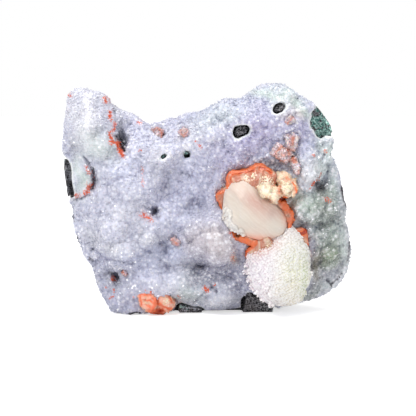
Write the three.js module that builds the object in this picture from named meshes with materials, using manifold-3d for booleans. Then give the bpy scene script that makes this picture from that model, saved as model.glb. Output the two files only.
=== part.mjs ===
// A hand-sized mineral specimen: a slab of dark basalt, a lavender druzy crust of chalcedony and
// mordenite grown over its front, and red-rimmed apophyllite and cream stilbite crystals on the crust.
// Units are millimetres and +Z is up. X runs to the right across the specimen's face, the face looks
// along -Y, and the origin is the middle of the flat foot that the basalt is broken off to, in Z = 0.
// Depths are given as "out": the distance in front of the slab's own middle plane, which is Y = 0 until
// the whole group is moved by FOOT_SHIFT at the end.

import * as THREE from "three";
import { mergeVertices } from "three/addons/utils/BufferGeometryUtils.js";
import Module from "manifold-3d";

const wasm = await Module();
wasm.setup();

// Driving dimensions
const WIDTH = 150;
const HEIGHT = 123;
const FACE_OUT = 21;
const MATRIX_BACK = 25;
const CRUST_THICKNESS = 6;
const CRUST_WRAP = 3;
const RIM_SPREAD = 1.022;
const RIM_STRETCH = 1.026;
const RIM_DROP = 3.5;
const CRUST_CLEARANCE = 1.2;
const RIM_FALL = 14;
const RIM_WIDTH = 17;
const GAP = 0.3;
const FOOT_SHIFT = -12;

// Fineness of the faceted surfaces
const CRUST_STEPS = 52;
const MATRIX_STEPS = 36;
const CRUST_CELLS = 25;
const LOBE_CELLS = 18;
const MATRIX_CELLS = 8;
const BOSS_CELLS = 8;
const WALL_LEVELS = 3;
const MARGIN = 4;

// Depths that lie in front of everything and behind everything
const FAR_OUT = 90;
const FAR_BACK = -60;

// Colours and finishes
const FINISH = {
  basalt: { color: 0x4a464b, roughness: 0.85 },
  crust: { color: 0xc4c4d6, roughness: 0.45 },
  apophyllite: { color: 0xd88a6c, roughness: 0.25 },
  pearly: { color: 0xefe4c4, roughness: 0.2 },
  cream: { color: 0xe2d2c4, roughness: 0.4 },
  silky: { color: 0xeeebe0, roughness: 0.5 },
  pink: { color: 0xe0a398, roughness: 0.3 },
};

// Outline of the crust seen from the front, clockwise from the top of the left-hand tongue. Both
// outlines are given as they appear in the crystals' plane, and atRim moves them out to the rim.
const CRUST_OUTLINE = [
  [-70.7, 119.8], [-65, 120], [-56, 118.2], [-52.6, 113], [-47.5, 108.8], [-39.5, 105.6],
  [-30.5, 101], [-26, 102.6], [-19, 105], [-5, 108.2], [2, 111.6], [8, 115.2], [15.6, 115],
  [21.5, 118.8], [29, 122.1], [35.4, 123], [41.5, 120.2], [50, 114.5], [56.5, 110.8], [63.2, 102.5],
  [64.6, 93], [63, 85.4], [67, 76.5], [71.8, 61.5], [72.3, 56.7], [70.4, 51.5], [73.6, 43],
  [74.9, 32.5], [73.4, 24.5], [67, 16.5], [58.5, 11.6], [48, 9.2], [39, 5.8], [28, 3.3], [6, 3.7],
  [-8, 3], [-18.5, 1.2], [-27, 0.6], [-42, 1.6], [-51.5, 5.4], [-56.5, 13], [-60, 24], [-65, 36],
  [-69.6, 50], [-69.3, 56.5], [-72.6, 65], [-74.9, 80], [-74.9, 97], [-73, 109.5],
];

// Outline of the basalt at its front: inside the crust, but out to the specimen's edge where it shows
const MATRIX_OUTLINE = [
  [-67, 115.5], [-57, 114.5], [-49, 107], [-40, 101.5], [-29, 97.3], [-19, 101], [-4, 104],
  [7, 110.5], [16, 111.2], [24, 116.4], [34, 119.4], [43, 115.5], [51, 111], [56.4, 108.6],
  [61.3, 102.2], [62.4, 96], [60.4, 86], [63.5, 76], [67.8, 68.5], [72.2, 62.5], [72.9, 56.5],
  [67.4, 51], [70.2, 43], [71.6, 32.5], [69.5, 25], [64, 19.5], [56, 14.6], [46, 11.4], [37.5, 5],
  [34, 0], [-44, 0], [-50, 7], [-55, 16], [-58, 27], [-63, 38], [-66.4, 50], [-67.4, 57],
  [-73.2, 62.5], [-74.7, 72], [-74.6, 81.5], [-72, 88], [-72, 97], [-70, 108],
];

// Broad swells (+) and hollows (-) of the crust's face: place, half-extents, turn in degrees, rise
const RELIEF = [
  { at: [-62, 102], size: [20, 30], turn: 0, rise: 4 },
  { at: [-58, 49], size: [19, 15], turn: 0, rise: 4.5 },
  { at: [-47, 36], size: [15, 12], turn: -20, rise: 4 },
  { at: [-33, 42], size: [12, 11], turn: 0, rise: 4.5 },
  { at: [-50, 79], size: [15, 12], turn: 0, rise: 2.5 },
  { at: [-37, 66], size: [18, 14], turn: 25, rise: 4 },
  { at: [-25, 80], size: [14, 12], turn: 0, rise: 2 },
  { at: [-53, 28], size: [12, 9], turn: 0, rise: 2 },
  { at: [-42, 10], size: [16, 11], turn: 0, rise: 3 },
  { at: [-26, 16], size: [17, 12], turn: 0, rise: 5 },
  { at: [-3, 14], size: [18, 12], turn: 0, rise: 4 },
  { at: [5, 43], size: [20, 18], turn: -15, rise: 9.5 },
  { at: [17, 24], size: [13, 10], turn: 0, rise: 4 },
  { at: [-8, 68], size: [28, 19], turn: -20, rise: -6 },
  { at: [-10, 57], size: [16, 11], turn: -30, rise: -3 },
  { at: [2, 27], size: [30, 7], turn: -12, rise: -5 },
  { at: [-26, 35], size: [9, 8], turn: 0, rise: -6 },
  { at: [-18, 28], size: [15, 8], turn: -25, rise: -4 },
  { at: [-50, 21], size: [11, 9], turn: 0, rise: -4 },
  { at: [-15, 96], size: [17, 11], turn: 0, rise: 2.5 },
  { at: [4, 103], size: [21, 12], turn: 15, rise: 3.5 },
  { at: [9, 88], size: [18, 12], turn: 0, rise: 2.5 },
  { at: [35, 106], size: [24, 14], turn: 0, rise: 2.5 },
  { at: [28, 93], size: [13, 12], turn: 0, rise: -3 },
  { at: [53, 84], size: [18, 17], turn: 0, rise: 3 },
  { at: [58, 66], size: [11, 10], turn: 0, rise: -6 },
  { at: [67, 64], size: [8, 16], turn: 0, rise: 3 },
  { at: [63, 31], size: [26, 30], turn: 0, rise: -8 },
  { at: [52, 53], size: [15, 10], turn: 0, rise: 2.5 },
  { at: [26, 58], size: [24, 27], turn: 0, rise: 2 },
];

// Raised lobes of the crust that end in a lip: border, step at the lip, rise inside, and fade height
const LOBES = [
  {
    border: [
      [-78, 124], [-53, 124], [-51.2, 115], [-49.8, 109.7], [-47.2, 105], [-47, 101], [-48.4, 97.6],
      [-46.6, 93], [-44.5, 86.6], [-50, 82], [-57, 81], [-63, 84], [-78, 84],
    ],
    step: 2.4, rise: 5, fade: { from: 82, over: 13 },
  },
  {
    border: [
      [-76, 84], [-70, 85], [-64.6, 86], [-62.2, 81], [-60.2, 76.4], [-60.1, 71.6], [-62.8, 67.4],
      [-67.4, 64.3], [-76, 62],
    ],
    step: 2.2, rise: 4, fade: { from: 50, over: 1 },
  },
  {
    border: [
      [45.8, 83], [53, 88], [60.8, 84], [61.6, 78.5], [59.4, 76], [58.7, 72.6], [54.6, 69.4],
      [50.2, 66.4], [46, 67], [43.5, 73.5],
    ],
    step: 1.8, rise: 3, fade: { from: 50, over: 1 },
  },
];
const LOBE_SHOULDER = 7;

// Dark hollows under the lips and between the lumps: centre on the face, half-sizes, turn, depth share
const HOLLOWS = [
  { at: [-44.6, 94.5], size: [2.8, 6, 8.5], turn: 22, sunk: 0.3 },
  { at: [-59.6, 73], size: [2.2, 5, 8], turn: 0, sunk: 0.2 },
  { at: [-27.6, 56], size: [2.9, 5, 3.4], turn: -30, sunk: 0.3 },
  { at: [-48.5, 20.5], size: [3.2, 6, 4.6], turn: 10, sunk: 0.4 },
  { at: [57.4, 67], size: [4.4, 6, 3.4], turn: 25, sunk: 0.3 },
];

// Windows through the crust where the basalt shows: outline about its centre, and how far it lies back
const WINDOWS = [
  {
    at: [17.2, 97.5], back: 0.9,
    border: [[-4.6, -0.6], [-3.6, 2.6], [-0.6, 3.4], [3, 3.5], [4.6, 1.6], [3.8, -1.2], [0.8, -2.2],
      [-1.4, -3.6], [-3.4, -3.2]],
  },
  {
    at: [36.9, 109.5], back: 0.9,
    border: [[-3.5, -0.8], [-2, 2], [0.6, 2.9], [3.3, 2.6], [3.1, 0.4], [1.4, -1.8], [-1.2, -2.8],
      [-3, -2.4]],
  },
  {
    at: [-23, 84.7], back: 0.8,
    border: [[-2, -0.9], [-1, 0.7], [0.8, 1.5], [2, 0.8], [0.9, -0.8], [-1, -1.5]],
  },
  {
    at: [-11.1, 86], back: 0.8,
    border: [[-1.8, 0.2], [-0.9, 1.7], [1, 1.6], [1.9, 0.2], [1, -1.5], [-0.9, -1.6]],
  },
  {
    at: [55.7, 78.7], back: 2.2,
    border: [[-1, -1.5], [-0.7, 0.5], [0.5, 1.6], [1.1, 1], [0.5, -0.5], [-0.2, -1.6]],
  },
];

// Chips off the crust's edge that lay the basalt bare: border, and how far the basalt lies back
const CHIPS = [
  {
    back: 2.4,
    border: [[54, 110.5], [53.4, 106], [55, 103.4], [54.4, 100.6], [56.6, 98], [57.8, 95], [60.6, 94.4],
      [62, 96.8], [64, 95], [68, 95], [68, 112]],
  },
  {
    back: 4,
    border: [[-80, 86], [-74.4, 84.6], [-71.6, 81.6], [-70.6, 76], [-70.8, 70], [-69.6, 63.6], [-80, 61]],
  },
  {
    back: 3,
    border: [[18, -4], [18.6, 6], [21, 13.2], [22.6, 12.6], [26.6, 9.2], [30.4, 7], [34.6, 6.4], [37, -4]],
  },
  { back: 3, border: [[-16.8, -4], [-16.4, 4.4], [-14.4, 5.8], [-10.4, 4.2], [-3, 3.6], [-2.4, -4]] },
  { back: 3, border: [[-41, -4], [-40.4, 2.6], [-35.4, 3], [-34, -4]] },
  { back: 4, border: [[72.8, 66], [70.6, 63.6], [71.4, 58], [73, 54], [80, 54], [80, 66]] },
];

// Scoops broken out of the basalt's back and sides, and the planes that it is broken off by
const SCOOPS = [
  { at: [-34, 30, 44], size: [26, 9, 22] },
  { at: [31, 29, 74], size: [30, 8, 26] },
  { at: [52, 28, 30], size: [24, 10, 20] },
  { at: [-66, 20, 100], size: [16, 12, 20] },
  { at: [4, 31, 108], size: [22, 10, 15] },
  { at: [80, 12, 44], size: [14, 12, 13] },
];
const BREAKS = [
  { through: [0, 16, 116], facing: [0.05, 0.62, 0.78] },
  { through: [-62, 15, 60], facing: [-0.72, 0.68, 0.1] },
  { through: [62, 16, 70], facing: [0.66, 0.74, 0.12] },
  { through: [-44, 18, 12], facing: [-0.5, 0.74, -0.45] },
  { through: [56, 14, 18], facing: [0.55, 0.62, -0.56] },
  { through: [12, 24.2, 60], facing: [0.1, 0.99, -0.06] },
  { through: [-30, 23.4, 90], facing: [-0.16, 0.96, 0.2] },
];
const BOSS_ROOT = 12;
const MATRIX_TAPER = 5;
const CRUST_TAPER = 3;

// Rounded lumps of the crust: how many in each stretch, their radii, and how deep they sit
const LUMP_FIELDS = [
  { x: [-72, -20], z: [6, 116], count: 34, radius: [6.5, 11], sunk: 0.6 },
  { x: [-22, 26], z: [6, 110], count: 30, radius: [6, 10], sunk: 0.6 },
  { x: [8, 66], z: [68, 120], count: 30, radius: [5, 8], sunk: 0.52 },
  { x: [46, 73], z: [12, 72], count: 20, radius: [5, 8], sunk: 0.5 },
];
const LUMP_SEED = 41;

// How deep plates and sheaves are rooted behind the crust's face, and the room in a sheaf's plainer seat
const ROOT = 7;
const SHEAF_ROOT = 3;
const SEAT_SLACK = 1.2;

// Apophyllite plates behind the smooth sheaf: border, how proud of the crust, and slope across and up
const UPPER_PLATES = [
  {
    border: [[9.7, 74.4], [10.6, 76.6], [13, 77.4], [19.8, 78], [24.7, 81.2], [28.2, 80.8], [31.8, 78.5],
      [34.9, 75.8], [34, 67], [16, 56], [9.8, 67]],
    proud: 7.5, slope: [0.12, -0.12],
  },
  {
    border: [[12.6, 73.6], [20.6, 75.6], [25.4, 78.4], [29.4, 77], [32.6, 73.4], [31, 67], [12.4, 66]],
    proud: 9, slope: [0.12, -0.16],
  },
  {
    border: [[3.9, 64.2], [5.6, 66.8], [9.9, 68.8], [16, 67], [17, 56], [11.4, 53], [8.2, 55.4], [5.6, 59.8]],
    proud: 5.5, slope: [0.35, 0],
  },
  {
    border: [[36.6, 62.4], [40, 61.8], [42.2, 58.2], [44.6, 55.6], [44.4, 52], [43, 47.6], [37.6, 46.4],
      [32.5, 50], [31, 60]],
    proud: 6.5, slope: [-0.3, 0.1],
  },
  {
    border: [[10.8, 47.4], [14, 44.2], [18.8, 42], [23.8, 39.8], [31, 41], [36.4, 44.6], [33, 56],
      [20, 62], [16, 61]],
    proud: 6, slope: [0.05, 0.05],
  },
];

// Pearly plates at the right of them, and the peach plate between the two sheaves
const PEARLY_PLATES = [
  {
    border: [[36, 74.8], [38.4, 76.2], [40.5, 75.2], [43, 72.6], [44.5, 69.8], [45.6, 66.8], [43.5, 63.8],
      [40.4, 62.4], [37.6, 63.6], [35.6, 67]],
    proud: 9, slope: [0.1, 0.12],
  },
  {
    border: [[37.6, 72.8], [40.6, 72.8], [43.2, 68], [40.6, 64], [36.8, 66]],
    proud: 10.4, slope: [-0.1, -0.1],
  },
  {
    border: [[25.9, 67.9], [29.4, 70], [32.6, 67.6], [35.6, 67.2], [37.2, 64.4], [33.8, 61.6], [31.4, 62.6],
      [27.4, 66]],
    proud: 13.4, slope: [-0.1, -0.3],
  },
];
const LOWER_PLATES = [
  {
    border: [[23.9, 40.4], [19.5, 35.7], [19.8, 32], [26, 29], [35, 33], [36, 40], [31.4, 43.6]],
    proud: 8.6, slope: [0.05, 0.45],
  },
];
const SIDE_PLATES = [
  {
    border: [[45, 47], [48.4, 47.6], [51.2, 46.6], [51.7, 43], [52.2, 38], [53, 35.8], [52.8, 31], [49, 28.6],
      [45.4, 32]],
    proud: 7.5, slope: [-0.1, 0.15],
  },
];
const ROSETTE_PLATES = [
  {
    border: [[-35.8, 12.3], [-30.2, 12.6], [-27.7, 9.8], [-27.4, 7], [-30.6, 3.2], [-34.8, 6.2]],
    proud: 5, slope: [0.25, 0.3],
  },
  {
    border: [[-32.8, 9.8], [-30, 9.4], [-27.6, 6.6], [-29.6, 2.8], [-32.6, 4.6]],
    proud: 6, slope: [0.1, 0.1],
  },
  {
    border: [[-25.4, 11.9], [-21.6, 12.3], [-18.6, 7], [-19.7, 4.2], [-22.8, 3.2], [-26.4, 7.8]],
    proud: 5, slope: [-0.25, 0.3],
  },
  {
    border: [[-26.2, 8.2], [-23.4, 5.4], [-22.6, 2.9], [-24.2, 0.6], [-28, 0.5], [-30.2, 3.4]],
    proud: 5.4, slope: [0, 0.15],
  },
];
const PLATE_EDGE = 0.8;

// The two stilbite sheaves: border, hub that their blades fan out from, how proud, the ridge between
// their two faces as a point and a direction, and how steeply each face falls off
const SMOOTH_SHEAF = {
  border: [[8.6, 54.8], [8.8, 59.8], [9, 64.6], [11.2, 68.7], [15.1, 70.7], [20.1, 71.2], [23.8, 70.5],
    [32.5, 62.4], [37.4, 58.8], [40.5, 53.8], [41.2, 49.9], [39.4, 45.4], [35.4, 42.9], [28.5, 41.6],
    [23.6, 42], [16.1, 44.9], [11.4, 47.6], [9.1, 50.3]],
  hub: [24, 57], proud: 12.5, fineness: 3,
  ridge: { at: [17, 64], turn: -42, fall: [0.1, 0.13] },
  blades: [{ angles: [172, 212], count: 5, reach: 0.93, size: [3, 3.4, 1.8], lift: 22 }],
};
const SHINGLED_SHEAF = {
  border: [[41, 46.6], [44.4, 46.2], [46.8, 42.9], [49.4, 38.9], [51.6, 35.5], [52.4, 30.5], [52.6, 25.5],
    [53.1, 20.5],
    [50.6, 16.1], [49.7, 13.1], [49, 9.8], [45.9, 8.1], [41.4, 7.1], [35.5, 7.6], [31.5, 8.9], [27.4, 12.6],
    [24, 16.5], [22.6, 19.8], [21, 23.5], [20.3, 27.5], [20.6, 31.6], [23, 34.4], [28.5, 36.9], [33.5, 39.9],
    [38, 43.6]],
  hub: [37, 28], proud: 14, fineness: 3,
  ridge: { at: [31.7, 23], turn: -76, fall: [0.24, 0.2] },
  blades: [
    { angles: [162, 258], count: 8, reach: 0.94, size: [4.6, 3.8, 2.2], lift: 30 },
    { angles: [168, 252], count: 6, reach: 0.7, size: [4.6, 3.8, 2], lift: 26, seated: false },
    { angles: [-48, 20], count: 3, reach: 0.96, size: [3.4, 2.4, 1.8], lift: 10 },
  ],
};

// Small blocky crystals: place on the face, how proud their middle is, width, depth and height, and
// tilt about X, anticlockwise on the face, and about Z, in degrees
const SMALL_CRYSTALS = {
  square_apophyllite: [
    { at: [37.8, 86.2], proud: 0.8, size: [9.6, 6, 6.2], tilt: [-8, -33, 8], cut: 2.6 },
  ],
  pink_cluster: [
    { at: [41.4, 92.4], proud: 0.8, size: [2.8, 6, 7.4], tilt: [0, 10, 14] },
    { at: [44.2, 93.4], proud: 1.2, size: [3.8, 6, 5], tilt: [4, -24, -10] },
    { at: [43.8, 90], proud: 0.8, size: [3, 6, 4.6], tilt: [-6, -8, 0] },
  ],
  peach_sliver: [{ at: [45, 80.4], proud: 1, size: [3, 6, 8], tilt: [4, 16, 0], cut: 2.3 }],
  peach_crystal_top: [{ at: [42, 103.5], proud: 0.4, size: [4.4, 5, 3.2], tilt: [0, 38, 0], cut: 2.4 }],
  pink_rosette_top: [
    { at: [-27.7, 96.2], proud: 0.4, size: [3.4, 5, 5.6], tilt: [0, 14, 8] },
    { at: [-25.3, 96], proud: 0.8, size: [3.2, 5, 5.2], tilt: [6, -18, -8] },
  ],
  peach_wedge_top: [{ at: [-12.4, 96.6], proud: 0.4, size: [4.4, 5, 4.6], tilt: [-6, 43, 6], cut: 2.1 }],
  pink_spot_centre: [
    { at: [-17.7, 41], proud: 0.2, size: [2.4, 4.6, 3.4], tilt: [0, 20, 0] },
    { at: [-16.1, 40], proud: 0.2, size: [2.2, 4.6, 2.8], tilt: [0, -24, 8] },
  ],
  pink_spot_left: [{ at: [-43.7, 23.7], proud: 0.2, size: [2, 4.6, 2.9], tilt: [0, 36, 0] }],
};

// Loose maths
const radians = THREE.MathUtils.degToRad;

/** A repeatable stream of numbers from 0 to 1. */
function randomFrom(seed) {
  let state = seed;
  return () => {
    state = (Math.imul(state, 1664525) + 1013904223) >>> 0;
    return state / 4294967296;
  };
}

/** 0 below 0, 1 above 1, and smooth in between. */
function ease(t) {
  return THREE.MathUtils.smoothstep(t, 0, 1);
}

/** A gentle unevenness of about -1 to 1. */
function ripple(x, z) {
  return (Math.sin(x * 0.31 + z * 0.17) + Math.sin(z * 0.37 - x * 0.11) + Math.sin((x + z) * 0.23 + 2)) / 3;
}

/** A closed outline as evenly spaced points on a smooth curve through the given ones. */
function smoothOutline(points, steps) {
  const corners = points.map(([x, z]) => new THREE.Vector3(x, 0, z));
  const curve = new THREE.CatmullRomCurve3(corners, true, "centripetal");
  return curve.getSpacedPoints(steps).slice(0, steps).map((p) => [p.x, p.z]);
}

/** Signed distance from (x, z) to a closed outline: positive inside. */
function insetFrom(outline, x, z) {
  let nearest = Infinity;
  let inside = false;
  outline.forEach(([ax, az], i) => {
    const [bx, bz] = outline[(i + 1) % outline.length];
    const along = ((x - ax) * (bx - ax) + (z - az) * (bz - az)) / ((bx - ax) ** 2 + (bz - az) ** 2);
    const t = THREE.MathUtils.clamp(along, 0, 1);
    nearest = Math.min(nearest, Math.hypot(x - ax - t * (bx - ax), z - az - t * (bz - az)));
    if (az > z !== bz > z && x < ax + ((z - az) / (bz - az)) * (bx - ax)) inside = !inside;
  });
  return inside ? nearest : -nearest;
}

/** An outline from the crystals' plane, moved out to the rim that lies behind it, and no lower than low. */
function atRim(outline, low) {
  return outline.map(([x, z]) => [x * RIM_SPREAD, Math.max(low, z * RIM_STRETCH - RIM_DROP)]);
}

const crustOutline = smoothOutline(atRim(CRUST_OUTLINE, CRUST_CLEARANCE), CRUST_STEPS);

/** How far out the crust's face stands at (x, z), before lobes and lumps. */
function swellOut(x, z) {
  let out = FACE_OUT - RIM_FALL * (1 - ease(insetFrom(crustOutline, x, z) / RIM_WIDTH));
  for (const { at, size, turn, rise } of RELIEF) {
    const c = Math.cos(radians(turn));
    const s = Math.sin(radians(turn));
    const u = ((x - at[0]) * c + (z - at[1]) * s) / size[0];
    const v = ((z - at[1]) * c - (x - at[0]) * s) / size[1];
    out += rise * Math.max(0, 1 - u * u - v * v) ** 2 * 1.25;
  }
  return out + 0.7 * ripple(x, z);
}

/** The crust's rounded lumps, scattered by a fixed draw of numbers. */
function scatterLumps() {
  const draw = randomFrom(LUMP_SEED);
  const between = ([low, high]) => low + (high - low) * draw();
  return LUMP_FIELDS.flatMap((field) =>
    Array.from({ length: field.count }, () => {
      const [x, z, radius] = [between(field.x), between(field.z), between(field.radius)];
      return { x, z, radius, out: swellOut(x, z) - field.sunk * radius };
    }),
  );
}

const lumps = scatterLumps();

/** How far out the crust's face stands at (x, z) with its lumps. */
function faceOut(x, z) {
  let out = swellOut(x, z);
  for (const lump of lumps) {
    const square = lump.radius ** 2 - (x - lump.x) ** 2 - (z - lump.z) ** 2;
    if (square > 0) out = Math.max(out, lump.out + Math.sqrt(square));
  }
  return out;
}

/** How far out a lobe's own face stands at (x, z). */
function lobeOut(lobe, x, z) {
  const inset = insetFrom(lobe.border, x, z);
  const fade = ease((z - lobe.fade.from) / lobe.fade.over);
  return faceOut(x, z) + fade * (lobe.step + lobe.rise * ease(inset / LOBE_SHOULDER)) - 1.5 * (1 - fade);
}

// Solids

/** The exact solid inside a closed three.js geometry. */
function solidOf(geometry) {
  const bare = geometry.clone();
  bare.deleteAttribute("normal");
  bare.deleteAttribute("uv");
  const merged = mergeVertices(bare, 1e-4);
  const mesh = new wasm.Mesh({
    numProp: 3,
    vertProperties: new Float32Array(merged.attributes.position.array),
    triVerts: new Uint32Array(merged.index.array),
  });
  return new wasm.Manifold(mesh);
}

/** The three.js geometry of a solid, with flat faces. */
function geometryOf(solid) {
  const mesh = solid.getMesh();
  const corners = new Float32Array(mesh.numVert * 3);
  for (let i = 0; i < mesh.numVert; i++) {
    corners.set(mesh.vertProperties.subarray(i * mesh.numProp, i * mesh.numProp + 3), i * 3);
  }
  const geometry = new THREE.BufferGeometry();
  geometry.setAttribute("position", new THREE.BufferAttribute(corners, 3));
  geometry.setIndex(new THREE.BufferAttribute(mesh.triVerts, 1));
  const flat = geometry.toNonIndexed();
  flat.computeVertexNormals();
  return flat;
}

/** Joins a list of solids into one. */
function joined(solids) {
  return solids.reduce((all, solid) => all.add(solid));
}

/** Moves every corner of a geometry with change(corner). */
function reshaped(geometry, change) {
  const position = geometry.attributes.position;
  const corner = new THREE.Vector3();
  for (let i = 0; i < position.count; i++) {
    corner.fromBufferAttribute(position, i);
    change(corner);
    position.setXYZ(i, corner.x, corner.y, corner.z);
  }
  return geometry;
}

/** A prism along Y over an outline in X and Z, from one depth out to another. */
function prism(outline, outFrom, outTo) {
  const shape = new THREE.Shape(outline.map(([x, z]) => new THREE.Vector2(x, z)));
  const geometry = new THREE.ExtrudeGeometry(shape, { depth: outTo - outFrom, bevelEnabled: false });
  geometry.rotateX(Math.PI / 2);
  geometry.translate(0, -outFrom, 0);
  return solidOf(geometry);
}

/** A prism whose wall has levels, each corner of which pull(corner) moves in towards the middle. */
function wornPrism(outline, outFrom, outTo, pull) {
  const shape = new THREE.Shape(outline.map(([x, z]) => new THREE.Vector2(x, z)));
  const geometry = new THREE.ExtrudeGeometry(shape, {
    depth: outTo - outFrom,
    steps: WALL_LEVELS,
    bevelEnabled: false,
  });
  geometry.rotateX(Math.PI / 2);
  geometry.translate(0, -outFrom, 0);
  reshaped(geometry, (corner) => {
    const inward = new THREE.Vector2(-corner.x, HEIGHT / 2 - corner.z).normalize();
    const distance = pull(corner);
    corner.x += inward.x * distance;
    corner.z += inward.y * distance;
  });
  return solidOf(geometry);
}

/** A block over the whole specimen whose front is out(x, z) and whose back is at back(x, z) in Y. */
function reliefBlock(cells, out, back) {
  const rows = Math.round((cells * HEIGHT) / WIDTH);
  const geometry = new THREE.BoxGeometry(WIDTH + 2 * MARGIN, 2, HEIGHT + 2 * MARGIN, cells, 1, rows);
  geometry.translate(0, 0, HEIGHT / 2);
  reshaped(geometry, (corner) => {
    corner.y = corner.y < 0 ? -out(corner.x, corner.z) : back(corner.x, corner.z);
  });
  return solidOf(geometry);
}

/** An ellipsoid with flat faces, turned anticlockwise as the face is looked at. */
function ball(centre, size, turn = 0) {
  const geometry = new THREE.IcosahedronGeometry(1, 1);
  geometry.scale(...size);
  geometry.rotateY(-radians(turn));
  geometry.translate(...centre);
  return solidOf(geometry);
}

/** Cuts away everything of a solid beyond a plane. */
function brokenAt(solid, through, facing, grow = 0) {
  const reach = 3 * WIDTH;
  const normal = new THREE.Vector3(...facing).normalize();
  const block = new THREE.BoxGeometry(reach, reach, reach);
  block.translate(0, 0, reach / 2 + grow);
  block.applyQuaternion(new THREE.Quaternion().setFromUnitVectors(new THREE.Vector3(0, 0, 1), normal));
  block.translate(...through);
  return solid.subtract(solidOf(block));
}

/** A closed border moved outwards by a distance, or inwards if it is negative. */
function offsetBorder(border, distance) {
  const area = border.reduce((sum, [ax, az], i) => {
    const [bx, bz] = border[(i + 1) % border.length];
    return sum + ax * bz - bx * az;
  }, 0);
  const side = Math.sign(area);
  return border.map(([x, z], i) => {
    const before = border[(i + border.length - 1) % border.length];
    const after = border[(i + 1) % border.length];
    const run = new THREE.Vector2(after[0] - before[0], after[1] - before[1]).normalize();
    return [x + side * run.y * distance, z - side * run.x * distance];
  });
}

// The basalt

/** How far out the basalt's front stands: behind the lowest crust nearby by the crust's thickness. */
function matrixOut(x, z) {
  const reach = (0.5 * WIDTH) / MATRIX_CELLS;
  const steps = [-reach, 0, reach];
  return Math.min(...steps.flatMap((dx) => steps.map((dz) => swellOut(x + dx, z + dz)))) - CRUST_THICKNESS;
}

/** Everything of a solid that is above the foot. */
function onFoot(solid, grow = 0) {
  return brokenAt(solid, [0, 0, 0], [0, 0, -1], grow);
}

/** The basalt's full prism, with a wall that draws in unevenly towards the back. */
function basaltPrism(grow) {
  const outline = offsetBorder(smoothOutline(atRim(MATRIX_OUTLINE, -RIM_DROP), MATRIX_STEPS), grow);
  const worn = wornPrism(outline, -MATRIX_BACK, FACE_OUT + RIM_FALL, ({ x, y, z }) => {
    const share = THREE.MathUtils.clamp(y / MATRIX_BACK, 0, 1) * ease(z / 12);
    return share * (MATRIX_TAPER + 2.5 * Math.sin(x * 0.21 + y) + 2 * Math.cos(z * 0.27 - y));
  });
  return onFoot(worn, grow);
}

/** The basalt slab, grown all round by a clearance where grow isn't 0. */
function basaltSlab(grow) {
  const block = reliefBlock(MATRIX_CELLS, (x, z) => matrixOut(x, z) + grow, () => MATRIX_BACK + grow);
  let slab = basaltPrism(grow).intersect(block);
  for (const { through, facing } of BREAKS) slab = brokenAt(slab, through, facing, grow);
  return slab;
}

/** The basalt that stands forward in a window or chip, clear of the crust's broken edge. */
function basaltBoss(border, back) {
  const face = reliefBlock(BOSS_CELLS, (x, z) => swellOut(x, z) - back, () => BOSS_ROOT);
  return prism(offsetBorder(border, -GAP), -BOSS_ROOT, FAR_OUT).intersect(face);
}

/** Moves a border that is given about its centre to its place. */
function placed({ at, border }) {
  return border.map(([x, z]) => [x + at[0], z + at[1]]);
}

/** The whole piece of basalt. */
function basalt() {
  let solid = basaltSlab(0);
  for (const { at, size } of SCOOPS) solid = solid.subtract(ball(at, size));
  const bosses = [
    ...WINDOWS.map((window) => basaltBoss(placed(window), window.back)),
    ...CHIPS.map((chip) => basaltBoss(chip.border, chip.back).intersect(basaltPrism(0))),
  ];
  return joined([solid, ...bosses]);
}

// The crust

/** The crust before the crystals' seats are taken out of it. */
function bareCrust() {
  const back = (x, z) => CRUST_WRAP + 3 * ripple(1.7 * x, 1.3 * z + 20);
  const body = reliefBlock(CRUST_CELLS, faceOut, back);
  const lobes = LOBES.map((lobe) =>
    prism(lobe.border, 0, FAR_OUT).intersect(
      reliefBlock(LOBE_CELLS, (x, z) => lobeOut(lobe, x, z), () => 0),
    ),
  );
  const rim = wornPrism(crustOutline, -MATRIX_BACK, FACE_OUT + RIM_FALL, ({ x, y, z }) => {
    const bulge = ((y + RIM_FALL / 2) / RIM_FALL) ** 2;
    return Math.min(1.5, bulge) * CRUST_TAPER * (0.75 + 0.25 * Math.sin(0.6 * x + 0.5 * z)) * ease(z / 12);
  });
  let crust = joined([body, ...lobes]).intersect(rim);
  for (const { at, size, turn, sunk } of HOLLOWS) {
    const out = faceOut(at[0], at[1]) - sunk * size[1];
    crust = crust.subtract(ball([at[0], -out, at[1]], size, turn));
  }
  for (const window of WINDOWS) crust = crust.subtract(prism(placed(window), 0, FAR_OUT));
  for (const { border } of CHIPS) crust = crust.subtract(prism(border, FAR_BACK, FAR_OUT));
  return crust.subtract(basaltSlab(GAP));
}

// Crystals

/** The middle of a border. */
function middleOf(border) {
  const sum = border.reduce(([sx, sz], [x, z]) => [sx + x, sz + z], [0, 0]);
  return sum.map((total) => total / border.length);
}

/** A flat plate with bevelled edges, rooted in the crust, whose front slopes across and up. */
function plate({ border, proud, slope }, grow) {
  const edge = grow > 0 ? 0 : PLATE_EDGE;
  const [x, z] = middleOf(border);
  const front = swellOut(x, z) + proud + grow;
  const back = swellOut(x, z) - ROOT - grow;
  const shape = new THREE.Shape(offsetBorder(border, grow).map(([px, pz]) => new THREE.Vector2(px, pz)));
  const geometry = new THREE.ExtrudeGeometry(shape, {
    depth: front - back - 2 * edge,
    bevelThickness: edge,
    bevelSize: edge,
    bevelOffset: -edge,
    bevelSegments: 1,
    bevelEnabled: edge > 0,
  });
  geometry.rotateX(Math.PI / 2);
  geometry.translate(0, -back - edge, 0);
  reshaped(geometry, (corner) => {
    corner.y -= slope[0] * (corner.x - x) + slope[1] * (corner.z - z);
  });
  return solidOf(geometry);
}

/** Plates grown together. */
function plates(list) {
  return (grow) => joined(list.map((entry) => plate(entry, grow)));
}

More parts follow.
